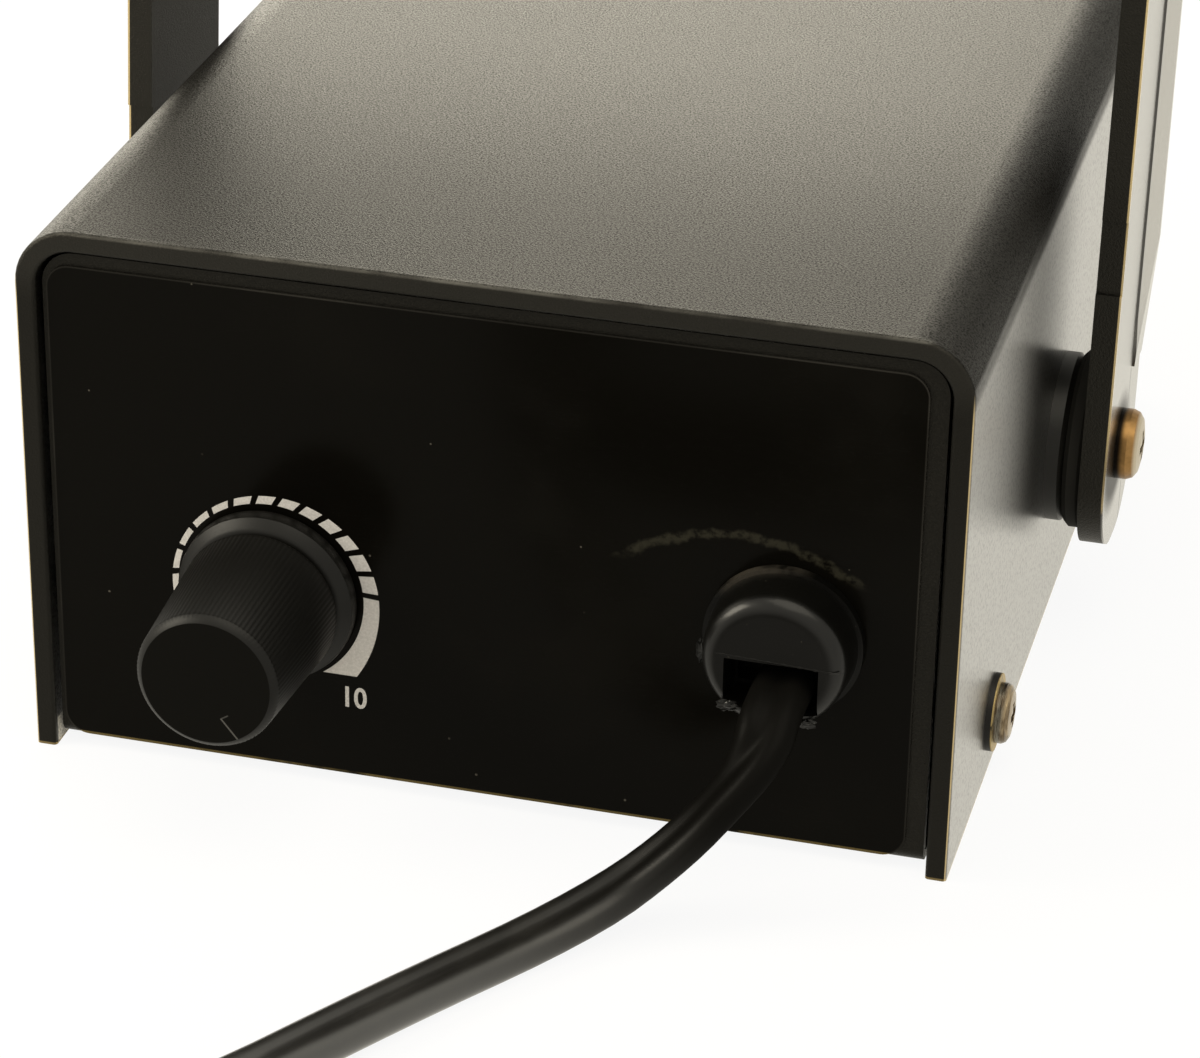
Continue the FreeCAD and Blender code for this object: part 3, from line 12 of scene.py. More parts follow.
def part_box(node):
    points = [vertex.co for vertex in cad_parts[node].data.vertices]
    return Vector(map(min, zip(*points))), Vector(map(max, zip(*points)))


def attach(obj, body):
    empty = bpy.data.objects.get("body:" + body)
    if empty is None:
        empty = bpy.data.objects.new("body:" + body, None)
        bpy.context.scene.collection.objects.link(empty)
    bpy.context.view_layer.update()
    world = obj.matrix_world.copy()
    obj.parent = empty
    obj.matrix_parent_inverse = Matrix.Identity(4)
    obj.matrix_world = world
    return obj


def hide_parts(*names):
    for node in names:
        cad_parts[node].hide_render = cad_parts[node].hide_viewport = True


bl_info = {
    "name": "Stroboscope dressing",
    "version": (1, 0, 0),
    "blender": (4, 5, 0),
    "location": "3D View > Sidebar > Stroboscope",
    "description": "Finishes, printed scale, knob, cord and studio for a small mains stroboscope",
    "category": "Object",
}

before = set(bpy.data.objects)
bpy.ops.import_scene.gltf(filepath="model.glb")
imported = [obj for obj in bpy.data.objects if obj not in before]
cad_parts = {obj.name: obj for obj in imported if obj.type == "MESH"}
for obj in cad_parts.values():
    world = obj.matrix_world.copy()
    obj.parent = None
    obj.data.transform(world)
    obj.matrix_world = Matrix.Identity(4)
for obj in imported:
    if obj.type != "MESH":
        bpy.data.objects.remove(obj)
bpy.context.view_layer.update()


def middle(node):
    """Centre of a CAD node's box."""
    low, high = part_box(node)
    return (low + high) / 2


def linear(red, green, blue):
    """A screen colour, 0 to 255, as the scene-linear colour that Blender mixes with."""
    parts = np.array((red, green, blue), float) / 255
    curve = np.where(parts <= 0.04045, parts / 12.92, ((parts + 0.055) / 1.055) ** 2.4)
    return tuple(float(part) for part in curve)


# Places in metres in the CAD frame: half the housing's width, the label's outer face, the axes of the knob
# and of the relief, the pivots, the outer face and the lean of the bracket's arms, then the label's corner
# radius and the arc of the reflection painted on the label, as (x, z) and a radius.
HALF_WIDTH = 0.0575
REAR_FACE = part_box("control_label")[1].y
DIAL_AXIS = middle("speed_shaft")
RELIEF_AXIS = middle("strain_relief")
PIVOT = middle("pivot_screws")
ARM_FACE = 0.06565
ARM_LEAN = math.radians(5.1)
LABEL_CORNER = 0.003
REFLECTION_ARC_CENTRE = (-0.0309, 0.0181)
REFLECTION_ARC_RADIUS = 0.0238


# --- settings


class CordSizes(bpy.types.PropertyGroup):
    length: FloatProperty(
        name="Length", description="Whole length, housing to plug", default=1.5, unit="LENGTH"
    )
    width: FloatProperty(name="Width", description="Width over both cores", default=0.0072, unit="LENGTH")
    thickness: FloatProperty(
        name="Thickness", description="Thickness over one core", default=0.0038, unit="LENGTH"
    )
    waist: FloatProperty(
        name="Waist", description="Thickness left between the cores", default=0.0030, unit="LENGTH"
    )
    turn_points: IntProperty(
        name="Points per turn", description="Control points in each coil turn", default=16, min=12
    )


class DialSizes(bpy.types.PropertyGroup):
    inner_radius: FloatProperty(
        name="Inner radius", description="Inner edge of the scale", default=0.01172, unit="LENGTH"
    )
    outer_radius: FloatProperty(
        name="Outer radius", description="Outer edge of the scale", default=0.01308, unit="LENGTH"
    )
    ink: FloatProperty(name="Ink", description="Thickness of the printed ink", default=0.00003, unit="LENGTH")
    digit_height: FloatProperty(
        name="Digit height", description="Height of the numbers", default=0.0029, unit="LENGTH"
    )


class KnobSizes(bpy.types.PropertyGroup):
    ribs: IntProperty(name="Ribs", description="Grip ribs around the barrel", default=96)
    rib_depth: FloatProperty(
        name="Rib depth", description="Depth between two ribs", default=0.000045, unit="LENGTH"
    )


class FinishColours(bpy.types.PropertyGroup):
    paint: FloatVectorProperty(
        name="Paint", description="Sand-textured housing paint", default=linear(16, 15, 13), subtype="COLOR"
    )
    label: FloatVectorProperty(
        name="Label", description="Glossy control label", default=linear(8, 7, 5), subtype="COLOR"
    )
    ink: FloatVectorProperty(
        name="Ink", description="Printed scale and numbers", default=linear(194, 191, 189), subtype="COLOR"
    )
    plastic: FloatVectorProperty(
        name="Plastic", description="Black moulded plastic", default=linear(22, 21, 18), subtype="COLOR"
    )
    cord: FloatVectorProperty(
        name="Cord", description="Cord sheath", default=linear(24, 23, 21), subtype="COLOR"
    )
    worn: FloatVectorProperty(
        name="Worn edges", description="Primer that shows on worn edges",
        default=linear(196, 172, 118), subtype="COLOR",
    )
    zinc: FloatVectorProperty(
        name="Zinc", description="Plated screws and washers", default=linear(150, 147, 140), subtype="COLOR"
    )
    bronze: FloatVectorProperty(
        name="Bronze", description="Pivot screws", default=linear(150, 116, 72), subtype="COLOR"
    )


class StudioSizes(bpy.types.PropertyGroup):
    floor: FloatProperty(name="Floor", description="Side of the square floor", default=6, unit="LENGTH")
    reflected: FloatVectorProperty(
        name="Reflected", description="White that is mirrored by the object",
        default=(1, 0.96, 0.85), subtype="COLOR",
    )
    whitening: FloatProperty(
        name="Whitening", description="Share of plain white in what is seen of the floor",
        default=0.9, subtype="FACTOR",
    )
    lamps: FloatVectorProperty(
        name="Lamps", description="Colour of the lamps", default=(1, 0.93, 0.77), subtype="COLOR"
    )
    back_lamp: FloatProperty(
        name="Back lamp", description="Power of the low lamp behind the object", default=1.15, unit="POWER"
    )
    top_lamp: FloatProperty(
        name="Top lamp", description="Power of the lamp overhead", default=4.0, unit="POWER"
    )
    side_lamp: FloatProperty(
        name="Side lamp", description="Power of the lamp beside the controls", default=2.0, unit="POWER"
    )


GROUPS = {
    "strobe_cord": CordSizes,
    "strobe_dial": DialSizes,
    "strobe_knob": KnobSizes,
    "strobe_colours": FinishColours,
    "strobe_studio": StudioSizes,
}


# --- shader maths


class Wire:
    """An output of a node. Arithmetic on it adds Math nodes and gives the output of the last one."""

    def __init__(self, graph, socket):
        self.graph = graph
        self.socket = socket

    def other(self, name):
        """Another output of the same node."""
        return Wire(self.graph, self.socket.node.outputs[name])

    def maths(self, operation, *values):
        return self.graph.node("ShaderNodeMath", {"operation": operation}, *values)

    def __add__(self, value):
        return self.maths("ADD", self, value)

    __radd__ = __add__

    def __sub__(self, value):
        return self.maths("SUBTRACT", self, value)

    def __rsub__(self, value):
        return self.maths("SUBTRACT", value, self)

    def __mul__(self, value):
        return self.maths("MULTIPLY", self, value)

    __rmul__ = __mul__

    def __pow__(self, value):
        return self.maths("POWER", self, value)

    def __abs__(self):
        return self.maths("ABSOLUTE", self)

    def most(self, value):
        """The larger one of the two."""
        return self.maths("MAXIMUM", self, value)

    def hypot(self, value):
        """Long side of a right triangle whose short sides these are."""
        return (self * self + value * value) ** 0.5

    def over(self, low, high):
        """0 below low, 1 above high and a smooth rise between them; high may be the smaller one."""
        ends = (low, high, 0, 1) if low < high else (high, low, 1, 0)
        return self.graph.node("ShaderNodeMapRange", {"interpolation_type": "SMOOTHSTEP"}, self, *ends)


class Graph:
    """A node tree and the means to add nodes to it."""

    def __init__(self, tree):
        self.nodes = tree.nodes
        self.links = tree.links

    def node(self, kind, settings, *values, **named):
        """Adds a node: its settings first, then values or links for its sockets in order or by name.
        A name's spaces are written as underscores. Gives the node's first usable output."""
        node = self.nodes.new(kind)
        for key, value in settings.items():
            setattr(node, key, value)
        sockets = [socket for socket in node.inputs if socket.enabled]
        for socket, value in zip(sockets, values):
            self.feed(socket, value)
        for name, value in named.items():
            wanted = name.replace("_", " ")
            self.feed(next(socket for socket in sockets if socket.name == wanted), value)
        return Wire(self, next(socket for socket in node.outputs if socket.enabled))

    def feed(self, socket, value):
        """Links a socket to a wire or sets its value."""
        if isinstance(value, Wire):
            self.links.new(value.socket, socket)
        elif socket.type == "RGBA" and len(value) == 3:
            socket.default_value = (*value, 1)
        else:
            socket.default_value = value

    def mix(self, factor, one, other):
        """Colour that goes from one to other with the factor."""
        return self.node("ShaderNodeMix", {"data_type": "RGBA"}, factor, one, other)


class Finish(Graph):
    """A material under construction around one Principled shader."""

    def __init__(self, name, **constants):
        self.material = bpy.data.materials.new(name)
        self.material.use_nodes = True
        super().__init__(self.material.node_tree)
        self.shader = self.nodes["Principled BSDF"]
        self.set(**constants)

    def set(self, **named):
        """Sets or links sockets of the shader."""
        for name, value in named.items():
            self.feed(self.shader.inputs[name.replace("_", " ")], value)

    def place(self):
        """Object coordinates in metres."""
        return self.node("ShaderNodeTexCoord", {}).other("Object")

    def stretched(self, scale, turn=(0, 0, 0)):
        """Object coordinates, turned and then scaled along each axis."""
        return self.node("ShaderNodeMapping", {}, self.place(), Rotation=turn, Scale=scale)

    def axis(self, name):
        """One Object coordinate in metres."""
        return self.node("ShaderNodeSeparateXYZ", {}, self.place()).other(name)

    def noise(self, size, detail=2.0, roughness=0.5, where=None):
        """Smooth noise, 0 to 1, whose lumps are about size metres across."""
        vector = where or self.place()
        return self.node(
            "ShaderNodeTexNoise", {}, Vector=vector, Scale=1 / size, Detail=detail, Roughness=roughness
        )

    def cells(self, size):
        """Distance to the nearest of scattered points that are about size metres apart."""
        return self.node("ShaderNodeTexVoronoi", {}, Vector=self.place(), Scale=1 / size)

    def tones(self, factor, colour, first, last):
        """A colour times first where the factor is 0 and times last where it is 1."""
        return self.mix(factor, shade(colour, first), shade(colour, last))

    def bump(self, height, depth):
        """Lifts the surface: a height of 0 to 1 stands for depth metres."""
        self.set(Normal=self.node("ShaderNodeBump", {}, Strength=1.0, Distance=depth, Height=height))

    def done(self, height, depth, **named):
        """Sets the last sockets, lifts the surface and gives the material."""
        self.set(**named)
        self.bump(height, depth)
        return self.material

    def layer(self, factor, shader):
        """Puts another shader over this one where the factor is 1."""
        mixed = self.node("ShaderNodeMixShader", {}, factor, Wire(self, self.shader.outputs[0]), shader)
        self.feed(self.nodes["Material Output"].inputs["Surface"], mixed)

    def veil(self, factor, colour):
        """Covers the shader with a dull colour where the factor is 1."""
        self.layer(factor, self.node("ShaderNodeBsdfDiffuse", {}, colour))


def shade(colour, factor):
    """A colour made lighter or darker by a factor."""
    return tuple(min(1.0, part * factor) for part in colour)


def dress(material, *nodes):
    """Puts a material on CAD nodes."""
    for name in nodes:
        put_material(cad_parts[name], material)


def put_material(item, material):
    item.data.materials.clear()
    item.data.materials.append(material)


def add_to_scene(name, data):
    """New object in the scene's collection."""
    item = bpy.data.objects.new(name, data)
    bpy.context.scene.collection.objects.link(item)
    return item


def mesh_from_curve(name, curve):
    """Mesh that a curve object evaluates to, and its points."""
    source = add_to_scene(name, curve)
    bpy.context.view_layer.update()
    mesh = bpy.data.meshes.new_from_object(source)
    bpy.data.objects.remove(source)
    points = np.zeros(len(mesh.vertices) * 3)
    mesh.vertices.foreach_get("co", points)
    return mesh, points.reshape(-1, 3)


# --- finishes


def sand_paint(name, colour, side, level=0.4, coat=0.0):
    """Powder paint with a fine sand texture: small noise lumps lift the surface and lighten it a little.
    It flowed out on the upright faces, which lie beyond side, in metres from the middle: there it is smoother
    and glossier, with broader lumps. The finish keeps its tone and its speckle for what wears or dusts it."""
    finish = Finish(name, Specular_IOR_Level=level, Specular_Tint=(1, 0.96, 0.84))
    finish.set(Coat_Roughness=0.28, Coat_IOR=1.9)
    sand = finish.noise(0.00025, 3.0, 0.65)
    lumps = finish.noise(0.0006, 3.0, 0.7)
    cloud = finish.noise(0.018)
    upright = abs(finish.axis("X")).over(side - 0.0003, side - 0.0001)
    finish.tone = finish.tones(sand.over(0.35, 0.75), colour, 0.7, 1.7)
    finish.speckle = sand.over(0.47, 0.6) * (1 - upright) * 0.6 + lumps.over(0.48, 0.62) * upright * 0.2
    roughness = 0.24 - 0.04 * upright + 0.08 * sand + 0.03 * cloud
    finish.set(Base_Color=finish.tone, Roughness=roughness, Coat_Weight=coat * upright)
    finish.bump(sand * (1 - 0.8 * upright) + lumps * upright * 0.6, 0.0001)
    return finish


def moulded_plastic(name, colour, roughness, level, grain=0.0004):
    """Moulded plastic: a fine spark-eroded grain, and broad soft changes of gloss and tone."""
    finish = Finish(name, Specular_IOR_Level=level)
    grains = finish.noise(grain, 2.0, 0.6)
    cloud = finish.noise(0.012, 3.0)
    return finish.done(
        grains, 0.00001,
        Base_Color=finish.tones(cloud, colour, 0.8, 1.25),
        Roughness=roughness - 0.06 + 0.08 * grains + 0.05 * cloud,
    )


def plated_metal(name, colour, roughness, wear):
    """Plated or plain metal: fine scratches, dull blotches and a few darker stains."""
    finish = Finish(name, Metallic=1.0)
    scratches = finish.noise(0.0006, 3.0, 0.7, finish.stretched((1, 9, 1), (0.4, 0.7, 0.3)))
    stain = finish.noise(0.004, 4.0, 0.65)
    return finish.done(
        scratches, 0.000006,
        Base_Color=finish.tones(stain.over(0.5, 0.72) * wear, colour, 1, 0.35),
        Roughness=roughness + 0.14 * scratches + 0.2 * wear * stain,
    )


class StrobeStep:
    """What every operator of this add-on shares."""

    bl_options = {"REGISTER"}


# --- meshes


def grid_faces(rows, columns, closed_columns):
    """Quads between neighbours of a grid of rows x columns points; the columns may close into a ring."""
    across = columns if closed_columns else columns - 1
    row, column = np.meshgrid(np.arange(rows - 1), np.arange(across), indexing="ij")
    near, far = row * columns, (row + 1) * columns
    side = (column + 1) % columns
    return np.stack([near + column, near + side, far + side, far + column], -1).reshape(-1, 4)


def build_mesh(name, points, quads, caps=()):
    """Mesh object from an array of points, an array of quads and rings of points that close it."""
    mesh = bpy.data.meshes.new(name)
    faces = quads.tolist() + [list(map(int, ring)) for ring in caps]
    mesh.from_pydata(points.tolist(), [], faces)
    mesh.validate()
    mesh.update()
    return add_to_scene(name, mesh)


def smooth_by_angle(item, degrees):
    """Smooth shading that keeps the edges sharper than the angle."""
    item.data.polygons.foreach_set("use_smooth", np.ones(len(item.data.polygons), bool))
    item.data.set_sharp_from_angle(angle=math.radians(degrees))


def finish_piece(item, material, body):
    """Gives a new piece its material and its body."""
    put_material(item, material)
    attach(item, body)


def add_skin(name, rings, degrees, material):
    """New piece of the housing: a closed skin over rings of points, an array of rings x points x 3.
    Each end ring becomes a cap, and edges sharper than the angle stay sharp."""
    count, around = rings.shape[:2]
    first = np.arange(around)
    caps = [first[::-1], first + (count - 1) * around]
    item = build_mesh(name, rings.reshape(-1, 3), grid_faces(count, around, True), caps)
    smooth_by_angle(item, degrees)
    finish_piece(item, material, "housing")
    return item


# --- housing


class STROBE_OT_finish_housing(StrobeStep, bpy.types.Operator):
    """Sand-textured paint on the cover and the chassis"""

    bl_idname = "strobe.finish_housing"
    bl_label = "Finish the housing"

    def execute(self, context):
        colours = context.scene.strobe_colours
        dress(self.cover(colours), "cover")
        dress(sand_paint("chassis_paint", colours.paint, 1.0, level=0.12).material, "chassis")
        return {"FINISHED"}

    def cover(self, colours):
        """The sheet's rear rim is dull and worn along its outer corners below the bends, and a highlight is
        painted along the top's rear edge. Primer shows along the foot, and a reflection of the pale floor is
        painted inside the foot of the rim. A dark reflection of the bracket's arm is painted along the bend
        at -X, and the front of the top is painted darker as shade."""
        half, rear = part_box("cover")[1].x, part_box("cover")[1].y
        cover = sand_paint("housing_paint", colours.paint, half, coat=1.0)
        across, y, z = (cover.axis(name) for name in "XYZ")
        x = abs(across)
        rim = y.over(rear - 0.0003, rear - 0.0001)
        low = z.over(0.066, 0.060)
        worn = x.over(half - 0.0003, half - 0.0002) * rim * low
        # Painted highlight along the top's rear edge.
        lip_highlight = y.over(rear - 0.0012, rear - 0.0003) * z.over(0.0695, 0.0698)
        lip_highlight = lip_highlight * cover.noise(0.009).over(0.3, 0.7)
        tone = cover.mix(lip_highlight * 0.4, cover.tone, linear(150, 148, 142))
        # Painted reflection of the pale floor on the inside of the foot of the rim.
        inside = x.over(half - 0.0023, half - 0.0025) * y.over(rear - 0.0006, rear - 0.0009)
        tone = cover.mix(inside * z.over(0.0038, 0.0034), tone, linear(226, 222, 212))
        foot = z.over(0.0004, 0.0002)
        cover.set(Base_Color=cover.mix(foot.most(worn) * 0.9, tone, colours.worn))
        # Painted shade: a dark reflection of the bracket's arm along the bend at -X, and a darker front of
        # the top. The sand speckle joins them in one veil.
        bend = (across * -1).over(0.0492, 0.0562) * z.over(0.0615, 0.0635) * 0.6
        top = z.over(0.0690, 0.0698) * y.over(-0.02, 0.05) * 0.34
        painted_shade_and_speckle = (1 - rim) * (1 - (1 - bend) * (1 - top) * (1 - cover.speckle))
        cover.veil(rim * (0.4 + 0.24 * low) * (1 - worn) + painted_shade_and_speckle, shade(colours.paint, 0.6))
        return cover.material


class STROBE_OT_finish_label(StrobeStep, bpy.types.Operator):
    """Glossy film of the control label, with fine scratches, dust and finger haze"""

    bl_idname = "strobe.finish_label"
    bl_label = "Finish the label"

    def execute(self, context):
        dress(self.film(context.scene.strobe_colours.label), "control_label")
        return {"FINISHED"}

    def film(self, colour):
        """Gloss film with dust, haze and scratches, a painted arc of reflection beside the relief, a painted
        highlight along the cut edge, and a lower edge that is worn golden in places."""
        finish = Finish("label_film", Specular_IOR_Level=0.04)
        dust = finish.cells(0.0042).over(0.045, 0.03) * finish.noise(0.003, 1.0).over(0.5, 0.62)
        haze = finish.noise(0.03, 3.0, 0.6).over(0.45, 0.8)
        scratch = abs(finish.noise(0.004, where=finish.stretched((1, 1, 8), (0, 0.5, 0))) - 0.5)
        film = finish.tones(haze * 0.5, colour, 1, 2.2)
        # Painted reflection: a faint pale arc on the film beside the relief.
        x, z = finish.axis("X") - REFLECTION_ARC_CENTRE[0], finish.axis("Z") - REFLECTION_ARC_CENTRE[1]
        wander = (finish.noise(0.003, 3.0, 0.7) - 0.5) * 0.0022
        painted_reflection_arc = abs(x.hypot(z) - REFLECTION_ARC_RADIUS + wander).over(0.0009, 0.0002) * z.over(0.0185, 0.0205)
        painted_reflection_arc = painted_reflection_arc * finish.noise(0.0012, 3.0, 0.7).over(0.3, 0.6)
        film = finish.mix(painted_reflection_arc * 0.4, film, linear(62, 60, 50))
        # Painted highlight along the film's cut edge.
        film = finish.mix(self.border(finish) * haze.over(-0.4, 0.4) * 0.35, film, linear(70, 68, 64))
        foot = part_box("control_label")[0].z
        lower = finish.axis("Z").over(foot + 0.0004, foot + 0.0003) * finish.noise(0.005, 3.0).over(0.3, 0.5)
        film = finish.mix(lower * 0.6, film, linear(112, 98, 62))
        finish.set(
            Base_Color=finish.mix(dust * 0.5, film, linear(96, 92, 84)),
            Roughness=0.16 + 0.25 * haze + 0.12 * scratch.over(0.02, 0.0),
        )
        return finish.material

    def border(self, finish):
        """Cut edge of the film, where a highlight is painted: distance from a rectangle that is smaller by
        the corner's radius, near that radius."""
        centre = middle("control_label")
        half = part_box("control_label")[1] - centre
        past_x = (abs(finish.axis("X") - centre.x) - (half.x - LABEL_CORNER)).most(0)
        past_z = (abs(finish.axis("Z") - centre.z) - (half.z - LABEL_CORNER)).most(0)
        return past_x.hypot(past_z).over(LABEL_CORNER - 0.00024, LABEL_CORNER - 0.0001)


def arc(degrees, centre, radius):
    """Points (u, z) at angles around a centre; the radius is one value or one for each angle."""
    angle = np.radians(degrees)
    return centre + np.stack([np.cos(angle), np.sin(angle)], -1) * np.reshape(radius, (-1, 1))


# The scale in u, metres from the housing's +X side, and z: the angles of its dashes, the centres of its
# inner and outer edge, the places of its numbers and how narrow their digits are.
SCALE_DASHES = [
    (190.0, 177.0), (173.2, 161.0), (157.2, 145.5), (141.8, 130.3), (126.8, 116.3), (112.4, 102.0),
    (98.3, 88.6), (84.9, 75.2), (71.6, 62.3), (58.5, 49.3), (45.2, 36.0), (32.2, 22.0), (18.5, 7.9),
]
INNER_CENTRE = np.array((0.03084, 0.02572))
OUTER_CENTRE = np.array((0.03142, 0.02546))
NUMBERS = {"10": (0.04195, 0.01265), "1": (0.0192, 0.01265)}
DIGIT_SQUEEZE = 0.86


def printed_band(inner, outer, face, ink):
    """Thin closed slab between two lines of (u, z) points: front and back sheets joined around the edge."""
    border = np.concatenate([outer, inner[::-1]])
    x = HALF_WIDTH - border[:, 0]
    low = np.stack([x, np.full(len(x), face - ink / 3), border[:, 1]], -1)
    return np.stack([low, low + (0, ink, 0)])


class STROBE_OT_print_scale(StrobeStep, bpy.types.Operator):
    """Printed speed scale around the knob, with plain numbers at its two ends"""

    bl_idname = "strobe.print_scale"
    bl_label = "Print the speed scale"

    def execute(self, context):
        dial = context.scene.strobe_dial
        shapes = []
        for ends in SCALE_DASHES:
            degrees = np.linspace(*ends, 7)
            inner = arc(degrees, INNER_CENTRE, dial.inner_radius)
            shapes.append((inner, arc(degrees, OUTER_CENTRE, dial.outer_radius)))
        shapes.append(self.wedge(dial))
        points, quads, count = [], [], 0
        for inner, outer in shapes:
            slab = printed_band(inner, outer, REAR_FACE, dial.ink)
            around = slab.shape[1]
            strip = np.arange(around // 2 - 1)
            back = np.stack([strip, strip + 1, around - 2 - strip, around - 1 - strip], -1) + count
            quads += [grid_faces(2, around, True)[:, ::-1] + count, back, back[:, ::-1] + around]
            points.append(slab.reshape(-1, 3))
            count += 2 * around
        finish = self.ink_finish(context.scene.strobe_colours.ink)
        scale = build_mesh("speed_scale", np.concatenate(points), np.concatenate(quads))
        for item in (scale, *(self.number(text, u, z, dial) for text, (u, z) in NUMBERS.items())):
            finish_piece(item, finish, "housing")
        return {"FINISHED"}

    def wedge(self, dial):
        """The long last mark, whose radii grow with the square of the way along it."""
        way = np.linspace(0, 1, 33)
        inner = arc(4.5 - 61.9 * way, INNER_CENTRE, dial.inner_radius + 0.00028 * way**2)
        return inner, arc(4.5 - 48.6 * way, OUTER_CENTRE, dial.outer_radius + 0.00109 * way**2)

    def ink_finish(self, colour):
        finish = Finish("printed_ink", Specular_IOR_Level=0.2)
        speckle = finish.noise(0.00025, 2.0, 0.6)
        tone = finish.tones(speckle.over(0.3, 0.75), colour, 0.86, 1.04)
        finish.set(Base_Color=tone, Roughness=0.5 + 0.1 * speckle)
        return finish.material

    def number(self, text, u, z, dial):
        """A number as a thin slab on the label, read from behind the housing."""
        curve = bpy.data.curves.new(f"digits_{text}", "FONT")
        curve.body, curve.size, curve.extrude, curve.offset = text, 1.0, 0.01, 0.02
        curve.align_x, curve.align_y = "CENTER", "CENTER"
        mesh, flat = mesh_from_curve(f"digits_{text}", curve)
        scale = dial.digit_height / np.ptp(flat[:, 1])
        x = HALF_WIDTH - u - (flat[:, 0] - flat[:, 0].mean()) * scale * DIGIT_SQUEEZE
        up = z + (flat[:, 1] - (flat[:, 1].max() + flat[:, 1].min()) / 2) * scale
        y = np.where(flat[:, 2] > 0, REAR_FACE + dial.ink * 2 / 3, REAR_FACE - dial.ink / 3)
        mesh.vertices.foreach_set("co", np.stack([x, y, up], -1).ravel())
        mesh.update()
        return add_to_scene(f"number_{text}", mesh)


class STROBE_OT_finish_bracket(StrobeStep, bpy.types.Operator):
    """Paint on the bracket, black discs and washers at its pivots, bronze-coloured pivot screws"""

    bl_idname = "strobe.finish_bracket"
    bl_label = "Finish the bracket"

    def execute(self, context):
        colours = context.scene.strobe_colours
        dress(self.paint(colours), "bracket")
        dress(moulded_plastic("spacer_plastic", shade(colours.plastic, 0.7), 0.4, 0.35), "pivot_spacers")
        dress(self.fibre(colours.plastic), "friction_washers")
        dress(self.screws(colours), "pivot_screws")
        dress(plated_metal("pivot_zinc", colours.zinc, 0.38, 0.5), "pivot_washers", "pivot_nuts")
        return {"FINISHED"}

    def paint(self, colours):
        """Sand paint with a worn corner along each arm, a thin line of painted shade at the foot of its rib,
        a rib painted paler as its grazing reflection, and painted shade with the dark reflection of the pivot
        screws around them. The inner faces and the edges are duller. The pattern lies along and across the
        leaning arms, from the pivot."""
        finish = sand_paint("bracket_paint", colours.paint, ARM_FACE, coat=1.0)
        y, z = finish.axis("Y") - PIVOT.y, finish.axis("Z") - PIVOT.z
        across = y * math.cos(ARM_LEAN) + z * math.sin(ARM_LEAN)
        up = z * math.cos(ARM_LEAN) - y * math.sin(ARM_LEAN)
        outer = abs(finish.axis("X")).over(ARM_FACE - 0.0003, ARM_FACE - 0.0002)
        worn = outer * across.over(0.0122, 0.0126)
        # Painted shade: a thin dark line along the foot of the rib, where the crease lies in shade.
        line = abs(across + 0.0046).over(0.00026, 0.00014) * up.over(0.009, 0.0085) * 0.4
        # Painted shade and dark reflection of the screw head on the arm around each pivot screw.
        painted_screw_shade = ((across - 0.0038) * 0.7).hypot(up).over(0.0088, 0.0048) * 0.7
        # The rib's flank is painted paler to stand in for its grazing reflection.
        rib = outer * across.over(-0.0048, -0.0052) * up.over(0.0085, 0.02)
        tone = finish.mix(rib * 0.45, finish.tone, linear(160, 156, 144))
        finish.set(Base_Color=finish.mix(worn * 0.8, tone, colours.worn), Coat_Roughness=0.22)
        finish.veil(outer * line.most(painted_screw_shade) + (1 - outer) * 0.4, shade(colours.paint, 0.6))
        return finish.material

    def screws(self, colours):
        """Yellow-brown plating with a paler crown; the foot of the head is painted dark as shade where it
        meets the arm.
        """
        finish = Finish("bronze_plating", Metallic=1.0)
        reach = abs(finish.axis("X"))
        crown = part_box("pivot_screws")[1].x
        stain = finish.noise(0.0035, 4.0, 0.65)
        tone = finish.tones(stain.over(0.35, 0.7) * 0.7, colours.bronze, 1, 0.35)
        tone = finish.mix(reach.over(crown - 0.0009, crown - 0.0004), tone, linear(186, 176, 156))
        # Painted shade: the foot of the head is darkened where it meets the arm.
        tone = finish.mix(reach.over(ARM_FACE + 0.0010, ARM_FACE + 0.0002), tone, linear(26, 22, 18))
        scratches = finish.noise(0.0008, 3.0, 0.7)
        return finish.done(scratches, 0.00001, Base_Color=tone, Roughness=0.26 + 0.2 * stain)

    def fibre(self, colour):
        finish = Finish("friction_fibre", Specular_IOR_Level=0.25)
        fibres = finish.noise(0.0005, 4.0, 0.7, finish.stretched((1, 1, 5)))
        tone = finish.tones(fibres, colour, 0.8, 2.0)
        return finish.done(fibres, 0.00002, Base_Color=tone, Roughness=0.7 + 0.2 * fibres)


